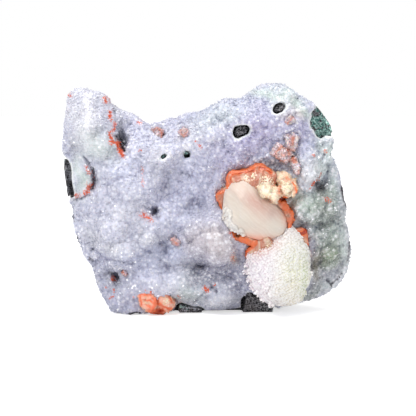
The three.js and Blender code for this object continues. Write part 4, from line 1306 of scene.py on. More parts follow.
def trim_to_edge(surface: Surface) -> None:
    """Brings the points that stand outside the specimen's edge back onto it, all but the foot's."""
    above_foot = (surface.points[:, 2] > FOOT_TOP) | (surface.points[:, 0] > FOOT_END)
    outside = np.flatnonzero(~inside(surface.points, RIM_EDGE) & above_foot)
    _, places = nearest_on_line(surface.points[outside], RIM_EDGE, closed=True)
    surface.points[outside[:, None], [0, 2]] = places


# Sub-assemblies


@dataclass
class Crust:
    """The druzy crust: its lumpy body, two coats of small grains and a scatter of bright ones that glow a
    little, as painted glints.

    Lumps have a spacing and a rise, reliefs a number of smoothing rounds and a weight. Faces within
    hidden_reach of the basalt are thinned out, and points within basalt_gap of it carry no grain.
    """

    node: str = "druzy_crust"
    slot: str = "druse"
    voxel: float = 0.66
    hidden_reach: float = 1.4
    kept_share: float = 0.62
    smoothing: int = 16
    edge_growth: float = 1.6
    swell: float = 1.0
    swell_width: float = 14.0
    coarse_lump: float = 6.6
    fine_lump: float = 3.9
    tiny_lump: float = 1.9
    coarse_rise: float = 1.2
    fine_rise: float = 1.0
    tiny_rise: float = 0.35
    # The reliefs weigh how strongly tops are painted paler and troughs darker, as painted highlight and
    # painted shade
    near_relief: tuple[int, float] = (6, 0.38)
    wide_relief: tuple[int, float] = (45, 0.13)
    facing_range: tuple[float, float] = (-0.25, 0.2)
    basalt_gap: float = 2.2
    open_normal: float = 0.4
    grain_count: int = 22000
    grain_size: tuple[float, float] = (0.28, 0.72)
    scatter: float = 0.25
    tilt: float = 0.5
    sunk_share: float = 0.3
    glint_count: int = 240
    glint_size: tuple[float, float] = (0.35, 0.8)
    body: Optional[Surface] = field(default=None, init=False)
    relief: Optional[Values] = field(default=None, init=False)
    facing: Optional[Values] = field(default=None, init=False)

    def build(self) -> None:
        """Builds and dresses the body, then strews the grains over it."""
        basalt = solid_tree("basalt_matrix")
        piece = merged_copy(self.node, "crust_body")
        remesh(piece, self.voxel)
        thin_hidden_side(piece, basalt, self.hidden_reach, self.kept_share)
        surface = Surface(piece)
        surface.smooth(self.smoothing)
        fit_edge(surface, self.edge_growth)
        surface.smooth(2)
        self.raise_lumps(surface)
        open_windows(surface)
        surface.write()
        self.relief = self.height_share(surface)
        self.facing = ease(-surface.normals[:, 1], *self.facing_range)
        self.store_marks(surface, np.arange(len(surface.points)), surface.points)
        settle(piece, DruseFinish("druse_body").build(), True, [self.node])
        self.body = surface
        self.strew_grains(basalt)

    def raise_lumps(self, surface: Surface) -> None:
        """Raises the broad swells and the botryoidal lumps, coarse at the left and fine at the right."""
        points = surface.points
        rightness = ease(points[:, 0] + 0.5 * (points[:, 2] - 60.0), -4.0, 26.0)
        shifted = points + 1.2 * drift(points, 5.0)
        coarse = ROUGH.pebbles(shifted, self.coarse_lump)
        fine = ROUGH.pebbles(shifted + 200.0, self.fine_lump)
        tiny = ROUGH.pebbles(points + 300.0, self.tiny_lump)
        coarse_dome = np.sqrt(np.clip(1.0 - (coarse / 0.95) ** 2, 0.0, 1.0))
        fine_dome = np.sqrt(np.clip(1.0 - (fine / 0.82) ** 2, 0.0, 1.0))
        height = self.swell * ROUGH.layered(points, self.swell_width)
        height += np.max([mound.height(shifted) for mound in MOUNDS], axis=0)
        height += self.coarse_rise * (1.0 - 0.3 * rightness) * (coarse_dome - 0.6)
        height += self.fine_rise * (0.22 + 0.78 * rightness) * (fine_dome - 0.5)
        height += self.tiny_rise * (0.5 - tiny) + 0.1 * ROUGH.layered(points + 350.0, 1.6)
        front = ease(-surface.normals[:, 1], -0.1, 0.5)
        distance = distance_to_line(points, RIM_EDGE, closed=True)
        held = 1.0 - 0.75 * rim_share(points)
        held *= 0.35 + 0.65 * ease(distance, 0.0, 3.0)
        surface.raise_by(height * held)
        surface.points[:, 1] += front * groove_marks(points)[0]

    def height_share(self, surface: Surface) -> Values:
        """How each point stands among its surroundings: 0 in a trough, 1 on a lump, 0.5 in between."""
        share = 0.5
        for rounds, weight in (self.near_relief, self.wide_relief):
            share = share + weight * surface.standing(rounds)
        return np.clip(share, 0.0, 1.0)

    def store_marks(self, surface: Surface, chosen: np.ndarray, points: Points, times: int = 1) -> None:
        """Stores tint, stain, rim, the grooves' painted shade and dark rock, and relief on a surface; the
        relief sets the painted highlight on tops and the painted shade in troughs.

        Args:
            surface: The surface.
            chosen: Numbers of the body's points that the marks are taken from.
            points: Those points.
            times: How many neighbouring points of the surface share each of them.
        """
        surface.tint("tint", np.repeat(crust_tints(points), times, axis=0))
        marks = {
            "stain": crust_stains(points) * self.facing[chosen],
            "rim": rim_share(points),
            "shade_and_dark_rock": groove_marks(points)[1],
            "relief": self.relief[chosen],
            "soft": np.max([oval.weight(points) for oval in SOFT], axis=0),
        }
        for name, values in marks.items():
            surface.value(name, np.repeat(values, times))

    def strew_grains(self, basalt: BVHTree) -> None:
        """Covers the open side of the crust with small crystal grains, in two coats and a scatter."""
        surface = self.body
        points, normals = surface.points, surface.normals
        rng = np.random.default_rng(5)
        open_side = (normals[:, 1] < self.open_normal) & (rim_share(points) < 0.3)
        kept = np.array([
            index for index in np.flatnonzero(open_side)
            if basalt.find_nearest(Vector(points[index] * MM), self.basalt_gap * MM)[0] is None
        ])
        LOG.info("open crust points: %d", len(kept))
        finish = DruseFinish("druse_grains", roughness=0.2, scatter=0.3, grain_depth=0.0, knob_depth=0.0)
        coat = finish.build()
        for name in ("crust_grains_a", "crust_grains_b"):
            self.grain_piece(name, rng.choice(kept, self.grain_count), self.grain_size, coat, rng)
        clustered = ROUGH.swells(points[kept] + 30.0, 11.0) > 0.1
        raised = kept[(self.relief[kept] > 0.5) & clustered]
        bright = GlintFinish("druse_glints").build()
        self.grain_piece("crust_glints", rng.choice(raised, self.glint_count), self.glint_size, bright, rng)

    def grain_piece(
        self,
        name: str,
        chosen: np.ndarray,
        size_range: tuple[float, float],
        material: bpy.types.Material,
        rng: np.random.Generator,
    ) -> None:
        """One joined piece of grains on the chosen points of the body.

        Args:
            name: Name of the piece.
            chosen: Numbers of the body's points that carry a grain.
            size_range: Smallest and largest half-width of a grain, in millimetres.
            material: Material of the grains.
            rng: Source of their sizes and turns.
        """
        surface = self.body
        count = len(chosen)
        normals = surface.normals[chosen]
        base = surface.points[chosen] + rng.normal(0.0, self.scatter, (count, 3))
        tips = np.array([(0, 0, 1), (1, 0, 0), (0, 1, 0), (-1, 0, 0), (0, -1, 0), (0, 0, -1)], float)
        upper = [(0, 1, 2), (0, 2, 3), (0, 3, 4), (0, 4, 1)]
        lower = [(5, 2, 1), (5, 3, 2), (5, 4, 3), (5, 1, 4)]
        low, high = size_range
        size = (low + (high - low) * rng.random(count) ** 1.6)[:, None, None]
        depth, length = 0.8 + 0.4 * rng.random(count), 1.0 + 0.5 * rng.random(count)
        stretch = np.stack([np.ones(count), depth, length], axis=1)
        shapes = tips[None] * stretch[:, None, :] * size
        axis = unit(normals + rng.normal(0.0, self.tilt, (count, 3)))
        side = unit(np.cross(axis, rng.normal(0.0, 1.0, (count, 3))))
        places = base - self.sunk_share * size[:, 0] * normals
        axes = (side, np.cross(axis, side), axis)
        piece = strewn_mesh(name, shapes, axes, places, np.array(upper + lower))
        self.store_marks(Surface(piece), chosen, surface.points[chosen], len(tips))
        settle(piece, material, False, [])


@dataclass
class Basalt:
    """The basalt slab with its broken faces, pores and green patches.

    Its points below foot_height stay flat. The back is cut into wider faces than the front. A pale coat
    lies only in front of coated_depth, and green_corner and green_spots are where celadonite shows. The
    runs are stretches of Y over which the back's cuts set in and the celadonite fades out.
    """

    node: str = "basalt_matrix"
    slot: str = "basalt"
    voxel: float = 1.1
    smoothing: int = 3
    foot_height: float = 0.3
    pore_spacing: float = 5.5
    face_widths: tuple[float, float] = (4.6, 2.0)
    back_cut: float = 6.5
    back_face_width: float = 13.0
    back_run: tuple[float, float] = (SLAB_PLANE + 4.0, SLAB_PLANE + 14.0)
    coated_depth: float = -9.0
    green_run: tuple[float, float] = (SLAB_PLANE + 1.0, SLAB_PLANE + 10.0)
    green_corner: tuple[float, float] = (60.0, 102.0)
    green_spots: Outline = ((-23.0, 84.7), (-11.1, 86.0), (55.7, 78.7), (-13.0, 4.0), (-38.0, 2.0))

    def build(self) -> None:
        """Builds and dresses the slab."""
        piece = merged_copy(self.node, "basalt_slab")
        remesh(piece, self.voxel)
        surface = Surface(piece)
        foot = surface.points[:, 2] < self.foot_height
        grow_to_edge(surface)
        surface.smooth(self.smoothing, keep=foot.astype(float))
        points = surface.points
        wide_face, small_face = self.face_widths
        pores = ROUGH.pebbles(points + 400.0, self.pore_spacing)
        height = 0.6 * ROUGH.layered(points, 9.0, 4) + 2.0 * ROUGH.facets(points + 450.0, wide_face) - 0.5
        height += 0.9 * ROUGH.facets(points + 470.0, small_face)
        height -= 1.1 * (1.0 - ease(pores, 0.08, 0.34))
        behind = ease(points[:, 1], *self.back_run)
        cut = np.clip(0.3 + ROUGH.facets(points + 480.0, self.back_face_width), 0.0, 1.2)
        height -= behind * self.back_cut * cut
        height *= ease(points[:, 2], 0.2, 2.0)
        surface.raise_by(height)
        trim_to_edge(surface)
        surface.lift_to_floor()
        surface.points[foot, 2] = 0.0
        surface.write()
        surface.value("celadonite", self.celadonite(surface.points))
        coat = [zone.weight(surface.points) for zone in COATED]
        surface.value("crusted", np.max(coat, axis=0) * (surface.points[:, 1] < self.coated_depth))
        settle(piece, BasaltFinish("basalt_rock").build(), True, [self.node])

    def celadonite(self, points: Points) -> Values:
        """How green each point is: strong on the chipped corner, weak in small windows and pores."""

        def near(at: tuple[float, float], full: float, none: float) -> Values:
            distance = np.linalg.norm(points[:, [0, 2]] - np.array(at), axis=1)
            return 1.0 - ease(distance, full, none)

        corner = near(self.green_corner, 12.0, 17.0)
        small = np.max([near(at, 2.0, 4.0) for at in self.green_spots], axis=0)
        depth = points[:, 1] + 4.0 * ROUGH.layered(points, 6.0)
        front = 1.0 - ease(depth, *self.green_run)
        return front * (0.62 * corner + 0.55 * small) + 0.12 * ROUGH.swells(points, 20.0)


# The red lines of each group of crystals
RED_LINES = {
    "upper_apophyllite": stains(
        (1.15, 1.1, 9.8, 70.4, 9.7, 74.4, 10.6, 76.6, 13, 77.4, 19.8, 78),
        (1.1, 0.95, 19.8, 78, 24.7, 81.2, 28.2, 80.8, 31.8, 78.5),
        (0.5, 1.8, 11.7, 70.6, 11.6, 72.5, 12.2, 74.4, 12.7, 75.9, 14.7, 76.6, 18, 76.7, 20.7, 77.5, 23.3,
         78.5),
        (0.7, 1.6, 26.4, 79.5, 28.6, 78.9, 32, 77.3),
        (0.7, 1.2, 4.1, 64.9, 6.6, 66.6, 8.7, 67.4, 10.1, 69.2),
        (0.8, 1, 4.1, 64.2, 5.2, 61.6, 6.4, 60.2, 8.4, 56.2),
        (3, 1.15, 36.6, 65.2, 39, 62, 41.6, 58.7, 44.6, 55.4, 44.6, 52, 43.2, 48),
        (2.6, 1.15, 10.4, 47.8, 14.4, 44.2, 19, 41.9, 24, 39.6), (1, 0.4, 34.8, 70.6, 34.6, 66.4),
    ),
    "lower_apophyllite": stains((0.9, 1.4, 24, 40.2, 21.4, 37.4, 19.7, 35.6, 19.6, 32)),
    "side_apophyllite": stains(
        (1.9, 2.1, 46.8, 44.6, 48.6, 45.2, 50.2, 45.8), (1, 0.8, 51.4, 46, 52.2, 40, 53, 35, 52.8, 31),
    ),
    "pearly_apophyllite": stains(
        (0.8, 1.2, 38.4, 64.2, 41.8, 63.1), (0.55, 1.1, 43.3, 71.8, 45, 69.4, 45.7, 66.4),
        (0.7, 0.5, 39, 75.4, 41.5, 73.4), (0.9, 0.55, 35.8, 69.6, 36.4, 65.4),
        (0.6, 0.6, 30.2, 63, 32, 62),
    ),
    "base_rosette": stains(
        (0.9, 0.9, -35.8, 12.3, -30.2, 12.7, -27.7, 9.8), (0.8, 1, -35.6, 11.6, -34.8, 6.2),
        (0.8, 1.3, -32.8, 9.8, -30, 9.4, -27.6, 6.6), (1.2, 1.3, -29.6, 2.8, -27.6, 7.4, -26.6, 10.6),
        (0.9, 1, -25.4, 12, -21.6, 12.3, -18.6, 7), (0.9, 1.2, -26.4, 7.8, -23.4, 5.4, -19.7, 4.2),
        (0.9, 1, -30.2, 3.4, -28, 0.6, -24.2, 0.6), (0.9, 0.9, -31.4, 6.4, -29.4, 5.2),
        (2, 1.45, -30, 3.4, -27.2, 1.8, -24.4, 2.6),
    ),
    "square_apophyllite": stains(
        (0.6, 0.75, 34.6, 87.6, 38, 90, 41.6, 87.8, 41.8, 83.6, 37.6, 82.4, 34.8, 84.4, 34.6, 87.6),
        (1, 0.55, 36, 86, 39.4, 85.4),
    ),
    "pink_cluster": stains((1, 0.9, 43.2, 91.6, 43.6, 95), (0.8, 0.5, 41.4, 88.4, 44.6, 88.4)),
    "peach_sliver": stains((1.3, 1.2, 43.4, 84.6, 44.4, 82.4), (0.8, 0.6, 46.8, 77, 47.4, 76.4)),
    "peach_crystal_top": stains((0.9, 0.7, 40.4, 102, 43.6, 105)),
    "pink_rosette_top": stains((0.9, 0.8, -29.4, 94.4, -29, 98, -26.6, 99, -24, 97.6, -24, 94.4)),
    "peach_wedge_top": stains((0.8, 0.7, -14.6, 99, -12.4, 95, -10.4, 98.6)),
    "pink_spot_centre": stains((0.8, 0.8, -18.4, 42, -16, 39.6)),
    "pink_spot_left": stains((0.7, 0.8, -44.6, 24.4, -43, 23)),
}

# The cream cleavage faces of each group of crystals
CREAM_FLAKES = {
    "lower_apophyllite": ovals((31.6, 39.6, 3.6, 3, 0, 0.36)),
    "upper_apophyllite": ovals(
        (19.4, 74.2, 1.5, 2.8, 8, 0.6), (23, 75.2, 1.3, 2.6, -30, 0.75), (30, 73, 3.6, 3, -35, 0.72),
        (33.6, 69.4, 1.8, 3.4, 20, 0.8), (26.4, 70, 2.2, 2, 0, 0.5),
    ),
    "pearly_apophyllite": ovals(
        (29.6, 67.4, 3.4, 3.4, -40, 0.95), (33.6, 65.6, 2.2, 3.6, 0, 0.8), (40.6, 68.6, 4.4, 6, 0, 0.75),
        (38.4, 73.6, 3, 3, 0, 0.55),
    ),
    "base_rosette": ovals((-32.6, 8.4, 2, 2, 0, 0.5), (-22, 9, 2.2, 2.2, 0, 0.5)),
    "pink_cluster": ovals((40.8, 92.4, 1.4, 3.4, 0, 0.85), (45.4, 93.6, 1.6, 2.4, 0, 0.7)),
    "square_apophyllite": ovals((37.8, 86.4, 6, 6, 0, 0.6)),
    "peach_sliver": ovals((45.8, 79, 2, 3.4, 16, 0.8)),
    "pink_rosette_top": ovals((-26.6, 96.4, 1.6, 1.6, 0, 0.85)),
    "peach_wedge_top": ovals((-12.4, 97.6, 1.2, 1.2, 0, 0.4)),
}

SMOOTH_TINTS = zones(
    (14, 60, 8, 9, 0, 0.8, "CREAM_WHITE"), (24, 62, 10, 4.6, -38, 0.95, "PINK_BEIGE"),
    (33, 57, 5, 3.6, -50, 0.7, "PINK_BEIGE"), (18, 52, 8, 6, 0, 0.7, "CREAM_WHITE"),
    (34, 49, 7, 6, 0, 0.8, "CREAM_WHITE"), (18, 69.6, 9, 2.6, 0, 0.8, "BEIGE"),
    (25, 42.4, 11, 2.6, -4, 0.95, "PEACH"), (39.6, 56, 2.4, 6, 10, 0.7, "PEACH"),
    (10, 52, 2, 5, 0, 0.95, "WHITE"), (12.6, 48.4, 4, 1.8, -40, 0.95, "WHITE"),
)

SHINGLED_TINTS = zones(
    (27, 27, 7, 16, -20, 1, "PINK_WHITE"), (31, 13, 7, 8, 0, 0.9, "PINK_WHITE"),
    (44, 26, 9, 20, 0, 1, "YELLOW_WHITE"), (50, 22, 3, 14, 0, 0.9, "YELLOW_GREEN"),
    (39, 17, 5, 7, -60, 0.7, "BEIGE_WHITE"), (28, 38.6, 8, 3.4, 26, 0.9, "PEACH"),
    (44, 9, 6, 3, 0, 0.8, "BEIGE_WHITE"),
)


@dataclass
class Crystals:
    """One group of apophyllite plates or blocks: grown steps, red edges and cream flakes.

    Grow is how far the surface moves out, step and step_width shape the ledges that follow the red edges,
    and flaky and facet the broken faces. Tuck, forward and raised shift the group, the first and the last
    fading out along tuck_run and raise_run. Widened is a line along which it is thickened.
    """

    node: str
    slot: str
    finish: CrystalFinish
    voxel: float = 0.36
    smoothing: int = 2
    grow: float = 0.4
    step: float = 0.25
    step_width: float = 1.5
    roughness: float = 0.16
    flaky: float = 0.0
    tuck: float = 0.0
    forward: float = 0.0
    facet: float = 3.4
    hub: tuple[float, float] = (24.0, 57.0)
    widened: Outline = ()
    widening: float = 1.9
    raised: float = 0.0
    tuck_run: tuple[float, float] = (29.0, 36.0)
    raise_run: tuple[float, float] = (66.0, 77.0)
    wash_width: float = 2.2

    def build(self) -> None:
        """Builds and dresses the group."""
        piece = merged_copy(self.node, self.node + "_crystal")
        remesh(piece, self.voxel)
        surface = Surface(piece)
        surface.smooth(self.smoothing)
        points = surface.points
        points[:, 0] -= self.tuck * ease(points[:, 0], *self.tuck_run)
        points[:, 1] -= self.forward
        points[:, 2] += self.raised * (1.0 - ease(points[:, 2], *self.raise_run))
        rim = np.min([distance_to_line(points, line.line) for line in RED_LINES[self.node]], axis=0)
        ledge = np.floor(rim / self.step_width + 0.8 * ROUGH.layered(points + 600.0, 4.0))
        height = self.grow + self.step * (np.clip(ledge, 0.0, 3.0) - 1.5)
        height += self.roughness * ROUGH.layered(points + 700.0, 1.6)
        small_flakes = ROUGH.facets(points + 20.0, 0.5 * self.facet)
        height += self.flaky * (ROUGH.facets(points + 650.0, self.facet) + 0.5 * small_flakes)
        if self.widened:
            height += self.widening * np.exp(-((distance_to_line(points, self.widened) / 2.6) ** 2))
        surface.raise_by(height)
        surface.lift_to_floor()
        surface.write()
        self.mark(surface)
        settle(piece, self.finish.build(), True, [self.node])

    def mark(self, surface: Surface) -> None:
        """Stores the red edges, the cream flakes and the streaks that run in from the edge."""
        points = surface.points
        ragged = warped(points)
        red = np.max([line.weight(ragged) for line in RED_LINES[self.node]], axis=0)
        away = np.min([distance_to_line(ragged, line.line) for line in RED_LINES[self.node]], axis=0)
        wash = 0.6 * np.exp(-away / self.wash_width)
        cream = np.zeros(len(points))
        for zone in CREAM_FLAKES.get(self.node, ()):
            cream = np.maximum(cream, zone.weight(points))
        spoke = points[:, [0, 2]] - np.array(self.hub)
        angle = np.arctan2(spoke[:, 1], spoke[:, 0])
        radius = np.linalg.norm(spoke, axis=1)
        fan = np.stack([angle * 20.0, radius * 0.18, np.zeros(len(points))], axis=1)
        uneven = 0.85 + 0.4 * ROUGH.layered(points + 720.0, 2.6)
        surface.value("red", np.maximum(red, wash) * uneven)
        surface.value("cream", cream)
        surface.value("streak", 0.5 + 0.6 * ROUGH.layered(fan, 1.5))


@dataclass
class Sheaf:
    """A stilbite sheaf: a domed body with fine threads that run down over it, tinted in zones.

    Slant is the direction of the threads on the face, in degrees. Flare spreads the foot of the body, and
    crown_rise lifts its top, both in millimetres.
    """

    node: str
    slot: str
    finish: SheafFinish
    base: Tint
    tints: Sequence[Zone]
    voxel: float = 0.45
    smoothing: int = 10
    ripple: float = 1.0
    flare: float = 0.9
    slant: float = -52.0
    crown_rise: float = 3.0

    def build(self) -> Surface:
        """Builds and dresses the body."""
        piece = merged_copy(self.node, self.node + "_body")
        remesh(piece, self.voxel)
        surface = Surface(piece)
        surface.smooth(self.smoothing)
        self.shape(surface)
        surface.write()
        self.mark(surface)
        settle(piece, self.finish.build(), True, [self.node])
        return surface

    def shape(self, surface: Surface) -> None:
        """Raises the soft swells of the body and the fine threads that run down over it."""
        points = surface.points
        along, across = turned(points[:, 0], points[:, 2], self.slant)
        bend = across + 1.8 * ROUGH.layered(points, 8.0)
        drawn = np.stack([along * 0.2, points[:, 1] * 0.5, bend], axis=1)
        height = 1.1 * ROUGH.layered(points + 800.0, 9.0) + 0.3 * ROUGH.layered(drawn + 850.0, 1.7)
        surface.raise_by(self.ripple * height + 0.25)
        x, z = surface.points[:, 0], surface.points[:, 2]
        crown = ease(x, 6.0, 14.0) * (1.0 - ease(x, 26.0, 42.0))
        surface.points[:, 2] += self.crown_rise * crown * ease(z, 52.0, 69.0)
        self.spread_foot(surface)

    def spread_foot(self, surface: Surface) -> None:
        """Spreads the body's sides where they run back into the rock, so that no gap stays open."""
        points, normals = surface.points, surface.normals
        depth = points[:, 1] - points[:, 1].min()
        share = ease(depth, 2.0, 7.0)
        for axis in (0, 2):
            surface.points[:, axis] += self.flare * share * normals[:, axis]

    def mark(self, surface: Surface, tips: Sequence[float] = (0.4,)) -> None:
        """Stores the tint, the run of the threads and how near each point is to a blade's tip, which sets the
        painted shade at a blade's base and the painted highlight at its tip.

        Args:
            surface: The surface.
            tips: The nearness for each point of one blade, repeated over the surface.
        """
        points = surface.points
        surface.value("tip", np.tile(np.array(tips), len(points) // len(tips)))
        surface.tint("tint", blended_tints(self.base, self.tints, points))
        across = points[:, 0] * 0.66 + points[:, 2] * 0.75 + 2.2 * ROUGH.layered(points, 9.0)
        across += 0.5 * ROUGH.layered(points + 40.0, 3.0)
        surface.value("thread", across * 0.95)


@dataclass
class ShingledSheaf(Sheaf):
    """The white sheaf, shingled with curved blade tips on its left and pebbled on its right.

    Crown_shift brings its top forward, in millimetres.
    """

    flare: float = 0.8
    slant: float = -58.0
    crown_rise: float = 2.4
    crown_shift: float = 2.0

    def build(self) -> Surface:
        """Builds the body and lays the blade tips over it."""
        surface = super().build()
        points = surface.points
        leftness = 1.0 - ease(points[:, 0] + 0.25 * (points[:, 2] - 20.0), 28.0, 38.0)
        Blades("shingled_sheaf_blades", self).lay(surface, leftness, np.ones(len(points), bool))
        return surface

    def shape(self, surface: Surface) -> None:
        """Raises small diagonal pebbles over the body."""
        points = surface.points
        along, across = turned(points[:, 0], points[:, 2], self.slant)
        drawn = np.stack([along * 0.55, points[:, 1], across], axis=1)
        pebble = ROUGH.pebbles(drawn + 900.0, 1.5)
        rise = 0.7 * np.sqrt(np.clip(1.0 - (pebble / 0.9) ** 2, 0.0, 1.0))
        surface.raise_by(rise + 0.5 * ROUGH.layered(points + 800.0, 6.0) - 0.5)
        top = ease(surface.points[:, 2], 28.0, 42.0)
        surface.points[:, 1] -= self.crown_shift * top
        surface.points[:, 2] += self.crown_rise * top
        self.spread_foot(surface)


@dataclass
class Blades:
    """Blade tips in staggered rows over a sheaf, each row over the next.

    Spacing is between rows and along them, size is length, width and thickness, and lift is the range of
    angles off the surface. Corners and faces give one blade, and tips how near each corner is to its tip.
    """

    name: str
    sheaf: Sheaf
    spacing: tuple[float, float] = (1.3, 0.9)
    size: tuple[float, float, float] = (2.0, 0.95, 0.46)
    left_run: tuple[float, float, float] = (-0.75, -0.1, -0.6)
    right_run: tuple[float, float, float] = (0.45, -0.1, -0.85)
    lift: tuple[float, float] = (13.0, 30.0)
    layer_depth: float = 1.6
    jitter: float = 0.24
    left_allowance: float = 0.15
    front_normal: float = 0.12
    corners: tuple[tuple[float, float, float], ...] = (
        (-0.4, -0.6, 0.1), (-0.4, 0.6, 0.1), (0.3, -1, 0.3), (0.3, 1, 0.3), (0.85, -0.6, 0.2),
        (0.85, 0.6, 0.2), (0.2, 0, 0.8), (-0.3, 0, -1), (1, 0, -0.4),
    )
    faces: tuple[tuple[int, int, int], ...] = (
        (6, 0, 2), (6, 2, 4), (6, 4, 5), (6, 5, 3), (6, 3, 1), (6, 1, 0), (7, 2, 0),
        (7, 8, 2), (8, 4, 2), (8, 5, 4), (8, 3, 5), (7, 3, 8), (7, 1, 3), (7, 0, 1),
    )
    # The tips set the painted shade at a blade's base and the painted highlight at its tip
    tips: tuple[float, ...] = (0.1, 0.1, 0.6, 0.6, 1.0, 1.0, 0.8, 0.0, 0.3)

    def places(self, points: Points, run: np.ndarray, allowed: np.ndarray) -> np.ndarray:
        """Numbers of the points that lie nearest to the corners of a staggered grid.

        Args:
            points: The sheaf's points.
            run: Direction across the rows.
            allowed: Which points may carry a blade.

        Returns:
            The numbers, one for each corner of the grid that has a point near it.
        """
        across = np.cross(run, np.array((0.0, -1.0, 0.0)))
        row = points @ run / self.spacing[0]
        column = points @ across / self.spacing[1] + 0.5 * (np.round(row) % 2)
        layer = points[:, 1] / self.layer_depth
        cells = np.round(np.stack([row, column, layer], axis=1)).astype(int)
        miss = np.hypot(row - cells[:, 0], column - cells[:, 1]) + 0.3 * np.abs(layer - cells[:, 2])
        order = np.argsort(miss)
        order = order[allowed[order]]
        _, first = np.unique(cells[order], axis=0, return_index=True)
        return order[first]

    def lay(self, body: Surface, leftness: Values, allowed: np.ndarray) -> None:
        """Lays the blades on a body.

        Args:
            body: Surface of the sheaf's body.
            leftness: Share, for each point, of the left way of running.
            allowed: Which points may carry a blade.
        """
        rng = np.random.default_rng(21)
        points, normals = body.points, body.normals
        allowed = allowed & (normals[:, 1] < self.left_allowance * leftness - self.front_normal)
        left = self.places(points, np.array(self.left_run), allowed & (leftness > 0.5))
        right = self.places(points, np.array(self.right_run), allowed & (leftness <= 0.5))
        chosen = np.concatenate([left, right])
        count = len(chosen)
        share = leftness[chosen][:, None]
        length, width, thick = self.size
        grown = 0.62 + 0.76 * rng.random(count)
        full = np.array(self.corners)[None] * np.array((length * 0.6, width * 0.6, thick))
        shapes = full * grown[:, None, None]
        up = normals[chosen]
        wanted = share * np.array(self.left_run) + (1.0 - share) * np.array(self.right_run)
        wanted += rng.normal(0.0, self.jitter, (count, 3))
        run = unit(wanted - np.sum(wanted * up, axis=1, keepdims=True) * up)
        low_lift, high_lift = self.lift
        lift = np.radians(low_lift + (high_lift - low_lift) * rng.random(count))[:, None]
        lift = lift * (0.5 + 0.5 * share)
        axis = run * np.cos(lift) + up * np.sin(lift)
        side = np.cross(up, run)
        axes = (axis, side, np.cross(axis, side))
        piece = strewn_mesh(self.name, shapes, axes, points[chosen] + 0.12 * up, np.array(self.faces))
        self.sheaf.mark(Surface(piece), self.tips)
        settle(piece, self.sheaf.finish.build(), False, [])


@dataclass
class Studio:
    """Floor, light and the camera at the photograph's angle, with its view_width in millimetres."""

    view_width: float = 216.6
    lens: float = 100.0
    sensor: float = 36.0
    elevation: float = 6.0
    aim: tuple[float, float, float] = (0.0, SLAB_PLANE - 20.0, 57.8)
    surround: float = 0.36
    light_aim: tuple[float, float, float] = (0.0, 0.0, 0.06)
    floor_size: float = 4.0

    def build(self) -> None:
        """Builds the studio round the specimen."""
        self.camera()
        self.floor()
        self.lights()

    def camera(self) -> None:
        """Sets the camera square to the crystal face, a little above it."""
        data = bpy.data.cameras.new("camera")
        data.lens = self.lens
        data.sensor_width = self.sensor
        camera = bpy.data.objects.new("camera", data)
        bpy.context.scene.collection.objects.link(camera)
        distance = self.view_width * self.lens / self.sensor
        rise = math.radians(self.elevation)
        away = Vector((0.0, -math.cos(rise), math.sin(rise))) * distance
        camera.location = (Vector(self.aim) + away) * MM
        camera.rotation_euler = (math.radians(90.0) - rise, 0.0, 0.0)
        bpy.context.scene.camera = camera

    def floor(self) -> None:
        """Lays the floor, which runs far behind the specimen."""
        shape = bmesh.new()
        bmesh.ops.create_grid(shape, x_segments=2, y_segments=2, size=self.floor_size)
        mesh = bpy.data.meshes.new("floor")
        shape.to_mesh(mesh)
        shape.free()
        floor = link("floor", mesh)
        floor.data.materials.append(FloorFinish().build())

    def lights(self) -> None:
        """Hangs a large soft key, a fill, a top light and an even white surround."""
        self.softbox("key", (-0.55, -0.8, 0.8), 0.45, 8.5)
        self.softbox("fill", (0.75, -0.75, 0.3), 0.6, 2.0)
        self.softbox("top", (0.1, -0.1, 1.2), 0.8, 9.0)
        world = bpy.data.worlds.new("surround")
        world.use_nodes = True
        tree = world.node_tree
        background = tree.nodes["Background"]
        seen = Wiring(tree).add("LightPath").outputs["Is Camera Ray"]
        tree.links.new(Wiring(tree).ramp(seen, 0.0, 1.0, self.surround, 1.0), background.inputs[1])
        background.inputs[0].default_value = (1.0, 1.0, 1.0, 1.0)
        bpy.context.scene.world = world
        bpy.context.scene.view_settings.view_transform = "Standard"

    def softbox(self, name: str, at: tuple[float, float, float], size: float, power: float) -> None:
        """One square soft light aimed at the specimen's middle."""
        data = bpy.data.lights.new(name, "AREA")
        data.shape = "SQUARE"
        data.size = size
        data.energy = power
        light = bpy.data.objects.new(name, data)
        light.location = at
        aim = Vector(self.light_aim) - Vector(at)
        light.rotation_euler = aim.to_track_quat("-Z", "Y").to_euler()
        bpy.context.scene.collection.objects.link(light)


FRINGE_LINE = ((9.6, 57.0), (9.8, 51.4), (12.6, 48.4), (17.0, 46.0))
FRINGE_WIDTH = 2.2
FRINGE_DEPTH = 6.0
LOWER_RIM = ((11.2, 47.8), (13.6, 44.8), (16.4, 43.0), (19.8, 41.6), (23.4, 40.4))
RED_SLOT = "red_apophyllite"
SMALL_NODES = (
    "square_apophyllite",
    "pink_cluster",
    "peach_sliver",
    "peach_crystal_top",
    "pink_rosette_top",
    "peach_wedge_top",
    "pink_spot_centre",
    "pink_spot_left",
)


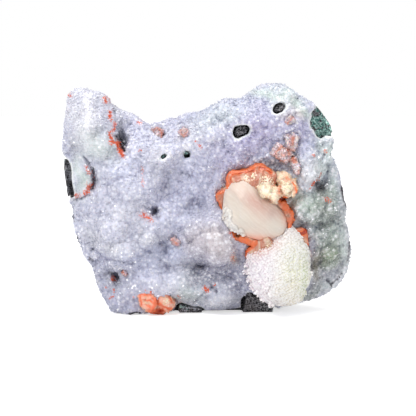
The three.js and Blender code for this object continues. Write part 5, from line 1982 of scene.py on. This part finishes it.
def main() -> None:
    """Builds the studio and every sub-assembly in order."""
    logging.basicConfig(level=logging.INFO, format="%(message)s")
    Studio().build()
    Basalt().build()
    Crust().build()
    peach = CrystalFinish("peach_apophyllite")
    pearly = CrystalFinish("pearly_apophyllite", body=linear(232, 208, 180), transmission=0.1, roughness=0.25)
    coral = CrystalFinish(
        "coral_apophyllite", body=linear(254, 192, 168), red=linear(248, 128, 88), transmission=0.1
    )
    pink = CrystalFinish(
        "pink_apophyllite",
        body=linear(212, 198, 210),
        red=linear(226, 150, 130),
        deep=linear(212, 112, 84),
        cream=linear(232, 222, 226),
        transmission=0.35,
    )
    Crystals("upper_apophyllite", RED_SLOT, peach, flaky=1.1, step=0.16, widened=LOWER_RIM).build()
    Crystals("lower_apophyllite", RED_SLOT, peach, flaky=0.5, grow=0.8, tuck=2.6, forward=-2.2).build()
    Crystals("side_apophyllite", RED_SLOT, peach, flaky=0.7, grow=0.5).build()
    Crystals(
        "base_rosette", RED_SLOT, coral, flaky=1.6, facet=2.3, grow=1.4, forward=1.2, hub=(-27.4, 3.4)
    ).build()
    Crystals("pearly_apophyllite", "pearly_apophyllite", pearly, flaky=2.4, grow=0.8, raised=1.7).build()
    small = {"voxel": 0.22, "step": 0.12, "grow": 0.35, "flaky": 1.3, "facet": 1.5}
    for node in SMALL_NODES:
        Crystals(node, "pink_apophyllite", pink, **small).build()
    dome = Sheaf(
        node="smooth_stilbite_sheaf",
        slot="satin_stilbite",
        finish=SheafFinish("satin_sheaf", linear(224, 218, 210)),
        base=Tint.BEIGE,
        tints=SMOOTH_TINTS,
    )
    body = dome.build()
    fringe = distance_to_line(body.points, FRINGE_LINE) < FRINGE_WIDTH
    fringe &= body.points[:, 1] < body.points[:, 1].min() + FRINGE_DEPTH
    tips = Blades("smooth_sheaf_tips", dome, size=(2.8, 1.3, 0.7), lift=(22.0, 48.0))
    tips.lay(body, np.ones(len(body.points)), fringe)
    ShingledSheaf(
        node="shingled_stilbite_sheaf",
        slot="silky_stilbite",
        finish=SheafFinish("silky_sheaf", linear(252, 249, 248)),
        base=Tint.PINK_WHITE,
        tints=SHINGLED_TINTS,
    ).build()


if __name__ == "__main__":
    main()
